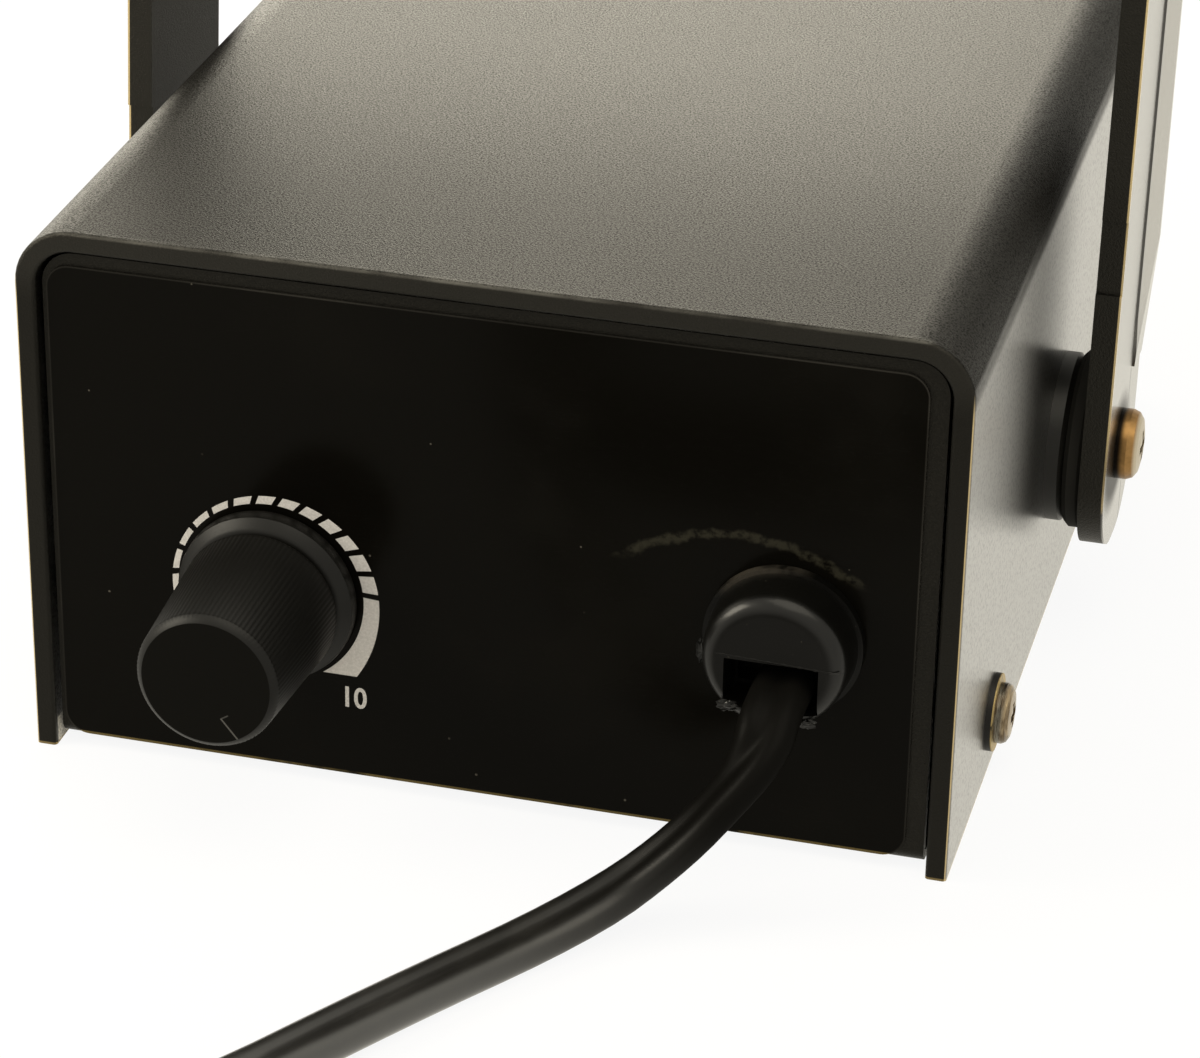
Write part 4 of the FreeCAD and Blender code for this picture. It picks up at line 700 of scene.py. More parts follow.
class STROBE_OT_finish_fasteners(StrobeStep, bpy.types.Operator):
    """Tarnished zinc on the cover screws, worn black on their washers, plain zinc on the small screws"""

    bl_idname = "strobe.finish_fasteners"
    bl_label = "Finish the fasteners"

    def execute(self, context):
        colours = context.scene.strobe_colours
        dress(self.heads(), "cover_screws")
        dress(self.washer(colours), "cover_screw_washers")
        small = plated_metal("small_screw_zinc", colours.zinc, 0.3, 0.4)
        dress(small, "bezel_screws", "board_screws", "pot_nut", "pot_washer")
        return {"FINISHED"}

    def heads(self):
        """Tarnished zinc: greyer at the foot of the head, browner on its crown, with dark pitted stains."""
        finish = Finish("cover_screw_zinc", Metallic=1.0)
        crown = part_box("cover_screws")[1].x
        stain = finish.noise(0.004, 3.0, 0.6, finish.stretched((7, 1, 1)))
        tone = abs(finish.axis("X")).over(crown - 0.0013, crown - 0.0005)
        tone = finish.mix(tone, linear(112, 108, 98), linear(156, 138, 110))
        tone = finish.mix(stain.over(0.42, 0.62) * 0.75, tone, linear(62, 48, 34))
        return finish.done(stain, 0.0001, Base_Color=tone, Roughness=0.16 + 0.2 * stain)

    def washer(self, colours):
        """Black plating that is worn to the yellowish metal at the outer corner."""
        finish = Finish("washer_black", Specular_IOR_Level=0.3)
        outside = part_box("cover_screw_washers")[1].x
        scuffs = finish.noise(0.002, 3.0, 0.6)
        worn = abs(finish.axis("X")).over(outside - 0.00016, outside - 0.0001)
        finish.set(
            Base_Color=finish.mix(worn * scuffs.over(0.3, 0.5) * 0.85, linear(20, 18, 16), colours.worn),
            Roughness=0.4 + 0.1 * scuffs,
            Metallic=worn * 0.6,
        )
        return finish.material


# --- knob

# Profile of the knob: from the underside, distances above its foot and inside its skirt; then the barrel's
# end and the face, distances below its top and radii. BARREL is the part of the profile with the ribs, and
# POINTER_START is the (x, z) place of the corner of the pointer's lines, from the axis.
SKIRT_STEPS = [
    (0.0006, 0.0016), (0.0, 0.0014), (0.0, 0.0002), (0.0002, 0.0), (0.0015, 0.0), (0.0019, 0.0001),
    (0.0028, 0.00105), (0.0030, 0.0014), (0.0031, 0.0019), (0.0036, 0.0019), (0.0037, 0.0015),
    (0.0040, 0.0013), (0.0044, 0.00134),
]
FACE_STEPS = [(0.0009, 0.00872), (0.0007, 0.00862), (0.00014, 0.00806), (0.0, 0.00785), (0.00005, 0.0040)]
BARREL = slice(11, 14)
POINTS_PER_RIB = 8
POINTER_START = (-0.00178, -0.00447)


def knob_profile():
    """Distance along the axis and radius: the underside's middle, the rings and the face's middle."""
    low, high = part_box("speed_knob")
    skirt = (high.x - low.x) / 2
    rings = [(low.y + up, skirt - inside) for up, inside in SKIRT_STEPS]
    rings += [(high.y - down, radius) for down, radius in FACE_STEPS]
    return low.y + 0.0006, np.array(rings), high.y - 0.00008


class STROBE_OT_make_knob(StrobeStep, bpy.types.Operator):
    """Speed knob with a skirt, a groove, a finely ribbed barrel and a pointer line on its face"""

    bl_idname = "strobe.make_knob"
    bl_label = "Make the knob"

    def execute(self, context):
        """The profile is turned around the shaft; on the barrel the radius dips by the rib depth between
        ribs, with the 1.5th power of a cosine that goes from 0 to 1."""
        sizes = context.scene.strobe_knob
        foot, profile, face = knob_profile()
        around = sizes.ribs * POINTS_PER_RIB
        angle = np.arange(around) * 2 * np.pi / around
        depth = np.zeros((len(profile), 1))
        depth[BARREL] = sizes.rib_depth
        radius = profile[:, 1:] - depth * (0.5 - 0.5 * np.cos(angle * sizes.ribs)) ** 1.5
        x = DIAL_AXIS.x + radius * np.cos(angle)
        z = DIAL_AXIS.z + radius * np.sin(angle)
        rings = np.stack([x, np.broadcast_to(profile[:, :1], x.shape), z], -1)
        poles = [(DIAL_AXIS.x, along, DIAL_AXIS.z) for along in (foot, face)]
        points = np.concatenate([rings.reshape(-1, 3), poles])
        side = np.arange(around)
        following = (side + 1) % around
        last = (len(rings) - 1) * around
        under = np.stack([side, following, np.full(around, len(points) - 2)], -1)
        front = np.stack([following + last, side + last, np.full(around, len(points) - 1)], -1)
        quads = grid_faces(len(rings), around, True)[:, ::-1]
        item = build_mesh("knob_moulding", points, quads, np.concatenate([under, front]))
        smooth_by_angle(item, 30)
        finish_piece(item, self.finish(context.scene.strobe_colours.plastic), "knob")
        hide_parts("speed_knob")
        dress(plated_metal("shaft_steel", linear(170, 168, 162), 0.3, 0.3), "speed_shaft")
        return {"FINISHED"}

    def finish(self, colour):
        """Satin black plastic. The face is duller and has a scribed pointer line with a short tick, whose
        groove is painted lighter as the highlight on its edge.
        """
        finish = Finish("knob_plastic", Specular_IOR_Level=0.32)
        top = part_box("speed_knob")[1].y
        x, y, z = finish.axis("X") - DIAL_AXIS.x, finish.axis("Y"), finish.axis("Z") - DIAL_AXIS.z
        face = y.over(top - 0.0003, top - 0.0001) * x.hypot(z).over(0.0079, 0.0078)
        mark = self.stroke(x, z, (-0.639, -0.769), 0.00014, 0.0039, 0.0036)
        mark = mark.most(self.stroke(x, z, (-0.846, 0.532), 0.00012, 0.0011, 0.0010) * 0.7) * face
        grains = finish.noise(0.0003, 2.0, 0.6)
        dust = finish.cells(0.0034).over(0.05, 0.03) * finish.noise(0.002, 1.0).over(0.5, 0.6)
        tone = finish.mix(dust * 0.4, finish.tones(grains, colour, 0.3, 0.5), linear(90, 87, 80))
        # Painted highlight: the pointer's groove is painted lighter.
        tone = finish.mix(mark * 0.6, tone, linear(84, 82, 78))
        finish.set(Base_Color=tone, Roughness=0.38 + 0.08 * grains)
        finish.bump(grains * 0.3 + mark, 0.00002)
        skirt = y.over(top - 0.0186, top - 0.0190) * 0.3
        edge = y.over(top - 0.0012, top - 0.0008) * (1 - face) * 0.35
        finish.veil(skirt + edge + face * (1 - mark) * 0.88, shade(colour, 0.42))
        return finish.material

    def stroke(self, x, z, direction, half, end, fade):
        """Straight mark from POINTER_START, twice half wide, that fades out between fade and end metres."""
        right, down = x - POINTER_START[0], z - POINTER_START[1]
        along = right * direction[0] + down * direction[1]
        across = down * direction[0] - right * direction[1]
        return abs(across).over(half, half / 2) * along.over(-0.0001, 0.0) * along.over(end, fade)


# --- cord

# Control points from the relief over the floor, then the coil: the angle of its entry and of its end in
# degrees, the radii of its turns, the gap between its two layers, and the run to the plug from its centre.
# Last, how far along the cord it starts to roll onto its edge, and over what length.
ROUTE = [
    (-0.0382, 0.059025, 0.0260),
    (-0.03742, 0.06666, 0.02582),
    (-0.03719, 0.07236, 0.02095),
    (-0.02968, 0.07488, 0.01044),
    (-0.01901, 0.08104, 0.0019),
    (-0.00091, 0.10738, 0.0019),
    (0.0220, 0.1507, 0.0042),
]
COIL_CENTRE = middle("cord_coil")
COIL_ENTRY = -20.0
COIL_ENDS_AT = COIL_ENTRY + 6 * 360 + 95
TURN_RADII = (0.0382, 0.03435, 0.0305)
LAYER_GAP = 0.0001
PLUG_RUN = [
    (-0.0084, 0.0378, 0.0096),
    (-0.0149, 0.0363, 0.0080),
    (-0.02075, 0.0359, 0.0070),
    (-0.0239, 0.0359, 0.0070),
]
ROLL_STARTS_AT, ROLL_LENGTH = 0.088, 0.034


def step_between(values, turns):
    """Reads a list of values, one for each turn, with a smooth change over the last sixth of a turn."""
    whole = np.floor(turns).astype(int)
    part = np.clip((turns - whole - 5 / 6) * 6, 0, 1)
    part = part * part * (3 - 2 * part)
    values = np.asarray(values)
    last = len(values) - 1
    return values[np.minimum(whole, last)] * (1 - part) + values[np.minimum(whole + 1, last)] * part


def coil_points(sizes):
    """Control points of the coil: three turns inward on the floor, then outward on top of them.
    A point stands off the turn by 1 / cos(half a step), because the spline touches its legs halfway."""
    step = 360 / sizes.turn_points
    degrees = np.arange(COIL_ENTRY + step / 2, COIL_ENDS_AT, step)
    turns = (degrees - COIL_ENTRY) / 360
    radius = step_between(TURN_RADII + TURN_RADII[::-1], turns) / math.cos(math.radians(step / 2))
    height = step_between([sizes.width / 2] * 3 + [sizes.width * 1.5 + LAYER_GAP] * 3, turns)
    angle = np.radians(degrees)
    x, y = COIL_CENTRE.x + radius * np.cos(angle), COIL_CENTRE.y + radius * np.sin(angle)
    return np.stack([x, y, height], -1)


def spline_path(points, resolution=6):
    """Points along a NURBS spline of order 3 that starts and ends on its control points."""
    curve = bpy.data.curves.new("route", "CURVE")
    curve.dimensions = "3D"
    spline = curve.splines.new("NURBS")
    spline.points.add(len(points) - 1)
    spline.points.foreach_set("co", np.column_stack([points, np.ones(len(points))]).ravel())
    spline.order_u, spline.use_endpoint_u, spline.resolution_u = 3, True, resolution
    mesh, path = mesh_from_curve("route", curve)
    bpy.data.meshes.remove(mesh)
    return path


def cord_section(sizes, around=40):
    """Two touching cores: at each width the half thickness is that of the nearer core's circle,
    and between the cores it goes down to the waist with a cosine."""
    core = sizes.thickness / 2
    offset = sizes.width / 2 - core
    angle = np.arange(around) * 2 * np.pi / around
    across = np.cos(angle) * sizes.width / 2
    outside = np.clip((abs(across) - offset) / core, 0, 1)
    rounded = core * np.sqrt(1 - outside**2)
    dip = (core - sizes.waist / 2) * (0.5 + 0.5 * np.cos(np.pi * np.clip(abs(across) / offset, 0, 1))) ** 1.2
    return np.stack([across, np.sign(np.sin(angle)) * (rounded - dip)], -1)


class STROBE_OT_make_cord(StrobeStep, bpy.types.Operator):
    """Flat two-core mains cord from the strain relief, over the floor, into its coil and the plug"""

    bl_idname = "strobe.make_cord"
    bl_label = "Make the cord"

    def execute(self, context):
        """The two-core section is carried along the spline. Its width lies level along the floor
        and turns upright where the cord stands on edge in the coil."""
        sizes = context.scene.strobe_cord
        plug_run = np.array(PLUG_RUN) + (COIL_CENTRE.x, COIL_CENTRE.y, 0)
        path = spline_path(np.concatenate([ROUTE, coil_points(sizes), plug_run]))
        keep = np.concatenate([[True], np.linalg.norm(np.diff(path, axis=0), axis=1) > 1e-6])
        path = path[keep]
        run = np.concatenate([[0], np.cumsum(np.linalg.norm(np.diff(path, axis=0), axis=1))])
        ahead = np.gradient(path, run, axis=0)
        ahead /= np.linalg.norm(ahead, axis=1, keepdims=True)
        level = np.cross(ahead, (0, 0, 1))
        level /= np.linalg.norm(level, axis=1, keepdims=True)
        upward = np.cross(level, ahead)
        turn = np.clip((run - ROLL_STARTS_AT) / ROLL_LENGTH, 0, 1)
        roll = (np.pi / 2 * turn * turn * (3 - 2 * turn))[:, None]
        wide = level * np.cos(roll) + upward * np.sin(roll)
        thin = upward * np.cos(roll) - level * np.sin(roll)
        section = cord_section(sizes)
        rings = path[:, None] + section[None, :, :1] * wide[:, None] + section[None, :, 1:] * thin[:, None]
        finish = self.finish(context.scene.strobe_colours.cord)
        item = add_skin("cord_sheath", rings, 60, finish)
        self.add_map(item, run, len(section))
        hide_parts("mains_cord", "cord_coil")
        return {"FINISHED"}

    def add_map(self, item, run, around):
        """UV map: metres along the cord, and the share of the way around it from one core's outer edge."""
        layer = item.data.uv_layers.new(name="along")
        corners = np.zeros(len(item.data.loops), int)
        item.data.loops.foreach_get("vertex_index", corners)
        ring, place = corners // around, corners % around
        layer.data.foreach_set("uv", np.stack([run[ring], place / around], -1).ravel())

    def finish(self, colour):
        """Satin sheath with faint lumps and scuffs. It is duller where it leaves the strain relief and
        shinier further on, by the map's run along the cord."""
        finish = Finish("cord_sheath", Specular_IOR_Level=0.6, Coat_Roughness=0.3)
        lumps = finish.noise(0.0005)
        scuffs = finish.noise(0.006, 4.0, 0.65)
        run = finish.node("ShaderNodeSeparateXYZ", {}, finish.node("ShaderNodeUVMap", {"uv_map": "along"}))
        finish.set(
            Base_Color=finish.tones(scuffs.over(0.4, 0.75), colour, 0.75, 1.3),
            Roughness=0.26 + 0.1 * lumps + 0.14 * scuffs,
            Coat_Weight=run.over(0.04, 0.07),
        )
        finish.bump(lumps, 0.000008)
        finish.veil(run.over(0.055, 0.02) * 0.95, shade(colour, 0.4))
        return finish.material


# The relief's round edge, the two ends and the half thickness of its mould seam, and the place, half sizes
# and seed of each torn bit on it.
RELIEF_RADIUS = 0.009
RELIEF_ROUNDING = 0.0022
SEAM_ENDS = (-0.0083, 0.0066)
SEAM_THICKNESS = 0.00007
RELIEF_BURRS = [
    ((-0.0279, 0.0633, 0.0292), (0.0006, 0.0005, 0.0013), 0.4),
    ((-0.0316, 0.0648, 0.0233), (0.0013, 0.0004, 0.0006), 2.0),
    ((-0.0410, 0.0646, 0.0222), (0.0011, 0.0004, 0.0005), 4.1),
]


class STROBE_OT_finish_cord_ends(StrobeStep, bpy.types.Operator):
    """Black plastic on the strain relief, the cord's inner end and the plug, nickel on the pins"""

    bl_idname = "strobe.finish_cord_ends"
    bl_label = "Finish the cord's ends"

    def execute(self, context):
        colours = context.scene.strobe_colours
        relief = self.relief(shade(colours.plastic, 0.25))
        dress(relief, "strain_relief")
        self.seam(relief)
        for place, size, seed in RELIEF_BURRS:
            self.burr(relief, place, size, seed)
        dress(moulded_plastic("cord_end_sheath", colours.cord, 0.4, 0.4), "cord_tail")
        dress(moulded_plastic("plug_plastic", colours.plastic, 0.42, 0.45, 0.0005), "plug_body")
        dress(plated_metal("pin_nickel", linear(205, 200, 188), 0.2, 0.2), "plug_pins")
        return {"FINISHED"}

    def relief(self, colour):
        """Black plastic with fine moulding grain, specks, a paler band over the top of the flange on the +X
        side, and a gloss ring inside the flange."""
        finish = Finish("relief_plastic", Specular_IOR_Level=0.14, Coat_Roughness=0.2, Coat_IOR=1.6)
        grains = finish.noise(0.0005, 2.0, 0.6)
        cloud = finish.noise(0.004, 3.0, 0.6)
        x, z = finish.axis("X") - RELIEF_AXIS.x, finish.axis("Z") - RELIEF_AXIS.z
        reach = x.hypot(z)
        flange = reach.over(0.0089, 0.0092) * z.over(0.0045, 0.0065) * (x + z * 0.3).over(-0.001, 0.003)
        specks = finish.cells(0.0011).over(0.09, 0.05) * finish.noise(0.0015, 1.0).over(0.45, 0.6)
        tone = finish.tones(cloud, colour, 0.8, 1.3)
        tone = finish.mix(flange * cloud.over(0.3, 0.55) * 0.8, tone, linear(58, 54, 48))
        return finish.done(
            grains, 0.000012,
            Base_Color=finish.mix(specks * 0.5, tone, linear(78, 74, 66)),
            Roughness=0.32 + 0.08 * grains + 0.05 * cloud,
            Coat_Weight=reach.over(0.0066, 0.0076) * reach.over(0.0091, 0.0089) * 0.24,
        )

    def seam(self, material):
        """Raised mould seam across the front of the relief: a thin bead on a straight line over its round
        edge. The depth is flat inside the rounding and falls with the square root of a circle outside it,
        and the bead's thickness swings with the product of two sines."""
        across = np.linspace(*SEAM_ENDS, 121)
        up = 0.00062 + across * 0.039
        reach = np.hypot(across, up)
        past = np.clip(reach - (RELIEF_RADIUS - RELIEF_ROUNDING), 0, RELIEF_ROUNDING)
        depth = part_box("strain_relief")[1].y - RELIEF_ROUNDING + np.sqrt(RELIEF_ROUNDING**2 - past**2)
        around = np.arange(8) * np.pi / 4
        thick = SEAM_THICKNESS * (1 + 0.5 * np.sin(across * 5200) * np.sin(across * 1700 + 1))
        thick[[0, -1]] *= 0.1
        x = np.broadcast_to((RELIEF_AXIS.x + across)[:, None], (len(across), 8))
        y = depth[:, None] + thick[:, None] * np.cos(around)
        z = (RELIEF_AXIS.z + up)[:, None] + thick[:, None] * 1.6 * np.sin(around)
        add_skin("relief_seam", np.stack([x, y, z], -1)[:, ::-1], 60, material)

    def burr(self, material, place, size, seed):
        """Torn bit of flash: a small ellipsoid whose radius swings with three sines of its two angles."""
        lifts, turns = np.linspace(0.12, np.pi - 0.12, 13), np.arange(20) * np.pi / 10
        lift, turn = np.meshgrid(lifts, turns, indexing="ij")
        swing = 1 + 0.22 * np.sin(3 * turn + seed) * np.sin(2 * lift)
        swing += 0.16 * np.sin(5 * turn - 2 * lift + seed) + 0.1 * np.sin(7 * lift + 2 * turn)
        ball = np.stack([np.sin(lift) * np.cos(turn), np.sin(lift) * np.sin(turn), np.cos(lift)], -1)
        rings = np.array(place) + ball * swing[..., None] * np.array(size)
        add_skin("relief_burr", rings[:, ::-1], 30, material)


# --- lamp

# Plain pieces by CAD node: name of the material, colour, roughness, then wear of a metal, or specular
# level and grain of a plastic.
LAMP_METALS = {
    "electrode_caps": ("cap_nickel", (196, 192, 184), 0.28, 0.4),
    "trigger_wire": ("trigger_nickel", (180, 172, 160), 0.3, 0.3),
}
LAMP_PLASTICS = {"tube_grommets": ("grommet_rubber", (196, 190, 178), 0.6, 0.3)}
CIRCUIT_METALS = {
    "board_standoffs": ("standoff_brass", (196, 160, 96), 0.3, 0.4),
    "fuse_caps": ("fuse_cap_nickel", (196, 194, 188), 0.24, 0.3),
    "fuse_clips": ("clip_brass", (200, 168, 104), 0.32, 0.4),
}
CIRCUIT_PLASTICS = {
    "trigger_capacitor": ("film_capacitor", (176, 48, 34), 0.3, 0.5, 0.0008),
    "transformer_bobbin": ("bobbin_nylon", (206, 200, 182), 0.5, 0.4),
    "thyristor": ("thyristor_epoxy", (30, 30, 32), 0.5, 0.5),
    "rectifier_diodes": ("diode_epoxy", (28, 28, 30), 0.35, 0.5),
    "mains_leads": ("lead_brown", (98, 56, 34), 0.42, 0.45, 0.0006),
    "speed_leads": ("lead_grey", (128, 128, 126), 0.42, 0.45, 0.0006),
    "lamp_leads": ("lead_red", (164, 40, 32), 0.42, 0.45, 0.0006),
    "trigger_lead": ("lead_white", (206, 204, 198), 0.42, 0.45, 0.0006),
}


def dress_plain(metals, plastics):
    """Dresses the CAD nodes of two tables of plain metals and plastics."""
    for maker, table in ((plated_metal, metals), (moulded_plastic, plastics)):
        for node, (name, colour, *settings) in table.items():
            dress(maker(name, linear(*colour), *settings), node)


class STROBE_OT_finish_lamp(StrobeStep, bpy.types.Operator):
    """Bezel, clear window, bright reflector and the xenon tube with its caps, grommets and trigger wire"""

    bl_idname = "strobe.finish_lamp"
    bl_label = "Finish the lamp"

    def execute(self, context):
        colours = context.scene.strobe_colours
        dress(moulded_plastic("bezel_plastic", colours.plastic, 0.45, 0.4, 0.0005), "front_bezel")
        dress(self.window(), "lens")
        dress(self.reflector(), "reflector")
        dress(self.glass(), "xenon_tube")
        dress_plain(LAMP_METALS, LAMP_PLASTICS)
        return {"FINISHED"}

    def window(self):
        """Clear sheet with faint cast waves and scratches."""
        finish = Finish("clear_window", Transmission_Weight=1.0, IOR=1.49)
        waves = finish.noise(0.012)
        scratches = abs(finish.noise(0.003, 3.0, 0.6, finish.stretched((1, 1, 7), (0, 0.9, 0))) - 0.5)
        return finish.done(
            waves, 0.00003,
            Base_Color=finish.mix(waves, (0.93, 0.95, 0.95), (0.98, 0.985, 0.98)),
            Roughness=0.02 + 0.05 * scratches.over(0.02, 0.0),
        )

    def reflector(self):
        """Bright rolled aluminium: fine lines along the sheet and slight dents."""
        finish = Finish("bright_aluminium", Metallic=1.0)
        lines = finish.noise(0.0004, where=finish.stretched((0.05, 1, 1)))
        dents = finish.noise(0.02)
        return finish.done(
            dents + 0.1 * lines, 0.0001,
            Base_Color=finish.mix(dents, linear(222, 224, 226), linear(236, 236, 234)),
            Roughness=0.10 + 0.12 * lines,
        )

    def glass(self):
        """Quartz glass, a little milky near the electrodes."""
        finish = Finish("tube_glass", Transmission_Weight=1.0, IOR=1.46)
        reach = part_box("xenon_tube")[1].x
        side = abs(finish.axis("X")).over(reach * 0.7, reach)
        mist = finish.noise(0.002, 3.0)
        finish.set(
            Base_Color=finish.mix(side * mist, (0.97, 0.98, 0.98), (0.42, 0.38, 0.34)),
            Roughness=0.02 + 0.25 * side * mist,
        )
        return finish.material


# --- circuit

# Painted rings and stripes: distance from the middle, half width and colour.
RESISTOR_BANDS = [
    (-0.0022, 0.0004, (132, 74, 30)),
    (-0.0009, 0.0004, (24, 22, 20)),
    (0.0004, 0.0004, (214, 170, 30)),
    (0.0022, 0.0004, (176, 140, 52)),
]


def banded(name, node, axis, ground, bands):
    """CAD parts with painted bands across one axis, counted from their middle."""
    finish = Finish(name)
    place = finish.axis(axis.upper()) - getattr(middle(node), axis)
    mottle = finish.noise(0.0012)
    tone = finish.tones(mottle, ground, 0.85, 1.12)
    for offset, half, colour in bands:
        tone = finish.mix(abs(place - offset).over(half * 1.1, half * 0.9), tone, linear(*colour))
    dress(finish.done(mottle, 0.00001, Base_Color=tone, Roughness=0.35 + 0.1 * mottle), node)


class STROBE_OT_finish_circuit(StrobeStep, bpy.types.Operator):
    """Board laminate, component bodies, winding, fuse, wires and the control behind the knob"""

    bl_idname = "strobe.finish_circuit"
    bl_label = "Finish the circuit"

    def execute(self, context):
        dress(self.board(), "circuit_board")
        dress(self.winding(), "transformer_winding")
        dress(self.cement(), "power_resistor")
        dress(self.fuse(), "fuse_glass")
        capacitors = "storage_capacitors"
        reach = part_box(capacitors)[1].x - middle(capacitors).x
        bands = [(end * reach * 0.9, reach * 0.06, (176, 174, 168)) for end in (1, -1)]
        banded("capacitor_sleeve", capacitors, "x", linear(34, 44, 74), bands)
        banded("resistor_lacquer", "timing_resistors", "y", linear(206, 176, 128), RESISTOR_BANDS)
        zinc = context.scene.strobe_colours.zinc
        dress(plated_metal("control_can", shade(zinc, 1.1), 0.34, 0.4), "potentiometer")
        dress_plain(CIRCUIT_METALS, CIRCUIT_PLASTICS)
        return {"FINISHED"}

    def board(self):
        """Brown laminate with lighter fibres, pale specks and a green underside."""
        finish = Finish("board_laminate")
        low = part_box("circuit_board")[0].z
        fibres = finish.noise(0.0009, 3.0, 0.6, finish.stretched((6, 1, 1)))
        speck = finish.cells(0.0031).over(0.14, 0.1)
        under = finish.axis("Z").over(low + 0.0003, low + 0.0001)
        tone = finish.mix(fibres, linear(140, 96, 52), linear(176, 128, 76))
        tone = finish.mix(under * 0.8, tone, linear(70, 96, 62))
        return finish.done(
            fibres, 0.00002,
            Base_Color=finish.mix(speck * 0.5, tone, linear(206, 196, 170)),
            Roughness=0.42 + 0.2 * fibres,
        )

    def winding(self):
        """Enamelled copper wire: a fine wave across the winding lifts each turn."""
        finish = Finish("enamelled_copper", Metallic=1.0)
        settings = {"bands_direction": "Z"}
        turns = finish.node("ShaderNodeTexWave", settings, Vector=finish.place(), Scale=900.0, Distortion=0.4)
        return finish.done(
            turns, 0.0001,
            Base_Color=finish.mix(turns, linear(96, 40, 16), linear(196, 104, 52)),
            Roughness=0.3 + 0.1 * turns,
        )

    def cement(self):
        """Cement body of the power resistor: pale, chalky and pitted."""
        finish = Finish("resistor_cement")
        pits = finish.noise(0.0007, 4.0, 0.7)
        tone = finish.mix(pits, linear(172, 170, 162), linear(214, 212, 204))
        return finish.done(pits, 0.0001, Base_Color=tone, Roughness=0.75 + 0.2 * pits)

    def fuse(self):
        """Clear glass with a slight mist."""
        finish = Finish("fuse_glass", Transmission_Weight=1.0, IOR=1.5)
        mist = finish.noise(0.003)
        tone = finish.mix(mist, (0.9, 0.95, 0.94), (0.97, 0.98, 0.98))
        finish.set(Base_Color=tone, Roughness=0.02 + 0.06 * mist)
        return finish.material


# --- studio

# Lamps: place, target, width and height. Camera: its place, the axes that make its turn and its focal
# length. Floor: points along each side and its height, just under the object's feet.
LAMPS = {
    "back_lamp": ((0.22, -0.38, 0.15), (0.22, 0.0, 0.15), 0.5, 0.2),
    "top_lamp": ((-0.2, 0.25, 0.9), (0.0, 0.0, 0.03), 0.8, 0.8),
    "side_lamp": ((0.42, 0.232, 0.28), (-0.03, 0.066, 0.03), 0.25, 0.25),
}
CAMERA_PLACE = (-0.124748, 0.488953, 0.273366)
CAMERA_RIGHT = (-0.96628129, -0.25695579, 0.01655849)
CAMERA_UP = (0.1334091, -0.44460675, 0.8857352)
CAMERA_BACK = (-0.22023278, 0.85807841, 0.46389543)
CAMERA_LENS = 129.1365
FLOOR_POINTS = 13
FLOOR_TOP = -0.00005


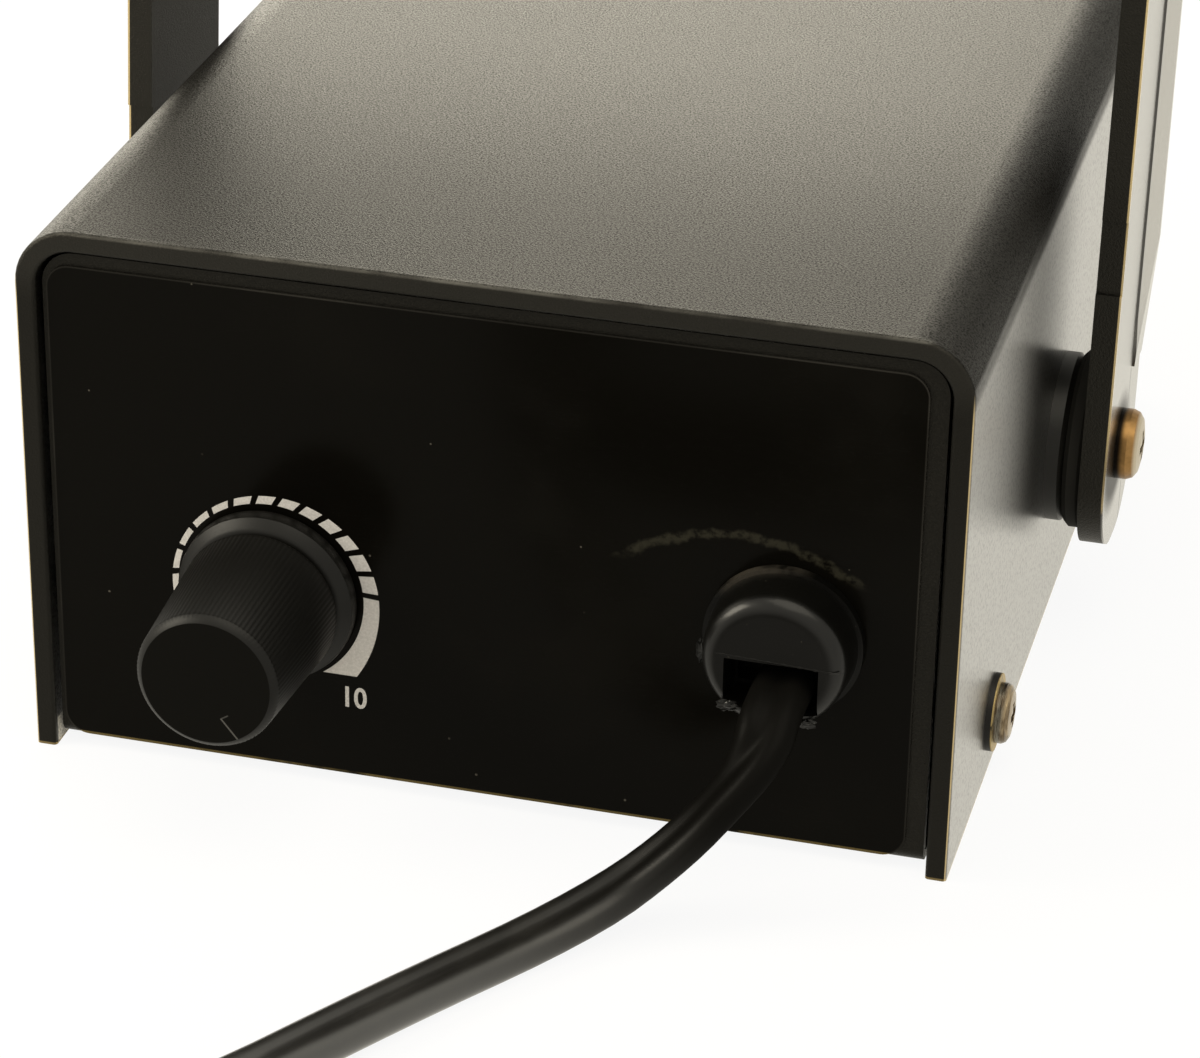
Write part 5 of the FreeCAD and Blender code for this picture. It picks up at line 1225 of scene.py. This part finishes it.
class STROBE_OT_set_stage(StrobeStep, bpy.types.Operator):
    """Pale floor, white surroundings, soft lamps and the camera"""

    bl_idname = "strobe.set_stage"
    bl_label = "Set the stage"

    def execute(self, context):
        studio = context.scene.strobe_studio
        self.floor(studio)
        self.world(studio)
        for name, settings in LAMPS.items():
            self.lamp(name, *settings, getattr(studio, name), studio.lamps)
        self.camera()
        return {"FINISHED"}

    def floor(self, studio):
        """Plain pale plaster floor, seen mostly as flat white, with a faint shadow left in it."""
        side = np.linspace(-studio.floor / 2, studio.floor / 2, FLOOR_POINTS)
        x, y = np.meshgrid(side, side)
        points = np.stack([x, y, np.full_like(x, FLOOR_TOP)], -1).reshape(-1, 3)
        item = build_mesh("floor", points, grid_faces(FLOOR_POINTS, FLOOR_POINTS, False))
        finish = Finish("floor_plaster", Specular_IOR_Level=0.2)
        cloud = finish.noise(0.5)
        tone = finish.mix(cloud, linear(244, 243, 241), linear(250, 249, 247))
        finish.set(Base_Color=tone, Roughness=0.7 + 0.1 * cloud)
        path = finish.node("ShaderNodeLightPath", {})
        seen = path.most(path.other("Is Glossy Ray")).most(path.other("Is Transmission Ray"))
        white = finish.node("ShaderNodeEmission", {}, finish.mix(path, studio.reflected, (1, 1, 1)), 1.0)
        finish.layer(seen * studio.whitening, white)
        put_material(item, finish.material)

    def world(self, studio):
        """White all around: full where it is seen or mirrored, a little less where it lights."""
        world = bpy.data.worlds.new("studio_white")
        world.use_nodes = True
        bpy.context.scene.world = world
        graph = Graph(world.node_tree)
        path = graph.node("ShaderNodeLightPath", {})
        level = graph.node("ShaderNodeMapRange", {}, path.most(path.other("Is Glossy Ray")), To_Min=0.75)
        background = graph.nodes["Background"].inputs
        graph.feed(background["Strength"], level)
        graph.feed(background["Color"], graph.mix(path, studio.reflected, (1, 1, 1)))

    def lamp(self, name, place, target, width, height, power, colour):
        light = bpy.data.lights.new(name, "AREA")
        light.shape, light.size, light.size_y = "RECTANGLE", width, height
        light.energy, light.color = power, colour
        item = add_to_scene(name, light)
        item.location = place
        item.rotation_euler = (Vector(target) - Vector(place)).to_track_quat("-Z", "Y").to_euler()
        item.visible_camera = False

    def camera(self):
        lens = bpy.data.cameras.new("view")
        lens.lens, lens.sensor_width, lens.sensor_fit = CAMERA_LENS, 36, "HORIZONTAL"
        item = add_to_scene("view", lens)
        turn = Matrix((CAMERA_RIGHT, CAMERA_UP, CAMERA_BACK)).transposed()
        item.matrix_world = Matrix.Translation(CAMERA_PLACE) @ turn.to_4x4()
        bpy.context.scene.camera = item
        bpy.context.scene.view_settings.view_transform = "Standard"


# --- add-on


class STROBE_PT_panel(bpy.types.Panel):
    bl_label = "Stroboscope"
    bl_idname = "STROBE_PT_panel"
    bl_space_type = "VIEW_3D"
    bl_region_type = "UI"
    bl_category = "Stroboscope"

    def draw(self, context):
        for group in GROUPS:
            box = self.layout.box()
            settings = getattr(context.scene, group)
            for name in type(settings).__annotations__:
                box.prop(settings, name)
        for step in STEPS:
            self.layout.operator(step.bl_idname)


STEPS = [
    STROBE_OT_set_stage,
    STROBE_OT_make_cord,
    STROBE_OT_finish_cord_ends,
    STROBE_OT_finish_housing,
    STROBE_OT_finish_label,
    STROBE_OT_print_scale,
    STROBE_OT_make_knob,
    STROBE_OT_finish_bracket,
    STROBE_OT_finish_fasteners,
    STROBE_OT_finish_lamp,
    STROBE_OT_finish_circuit,
]


def register():
    for item in (*GROUPS.values(), *STEPS, STROBE_PT_panel):
        bpy.utils.register_class(item)
    for name, group in GROUPS.items():
        setattr(bpy.types.Scene, name, PointerProperty(type=group))


def unregister():
    for name in GROUPS:
        delattr(bpy.types.Scene, name)
    for item in reversed((*GROUPS.values(), *STEPS, STROBE_PT_panel)):
        bpy.utils.unregister_class(item)


def main():
    """Dresses the object step by step."""
    register()
    for step in STEPS:
        getattr(bpy.ops.strobe, step.bl_idname.split(".")[1])()


if __name__ == "__main__":
    main()
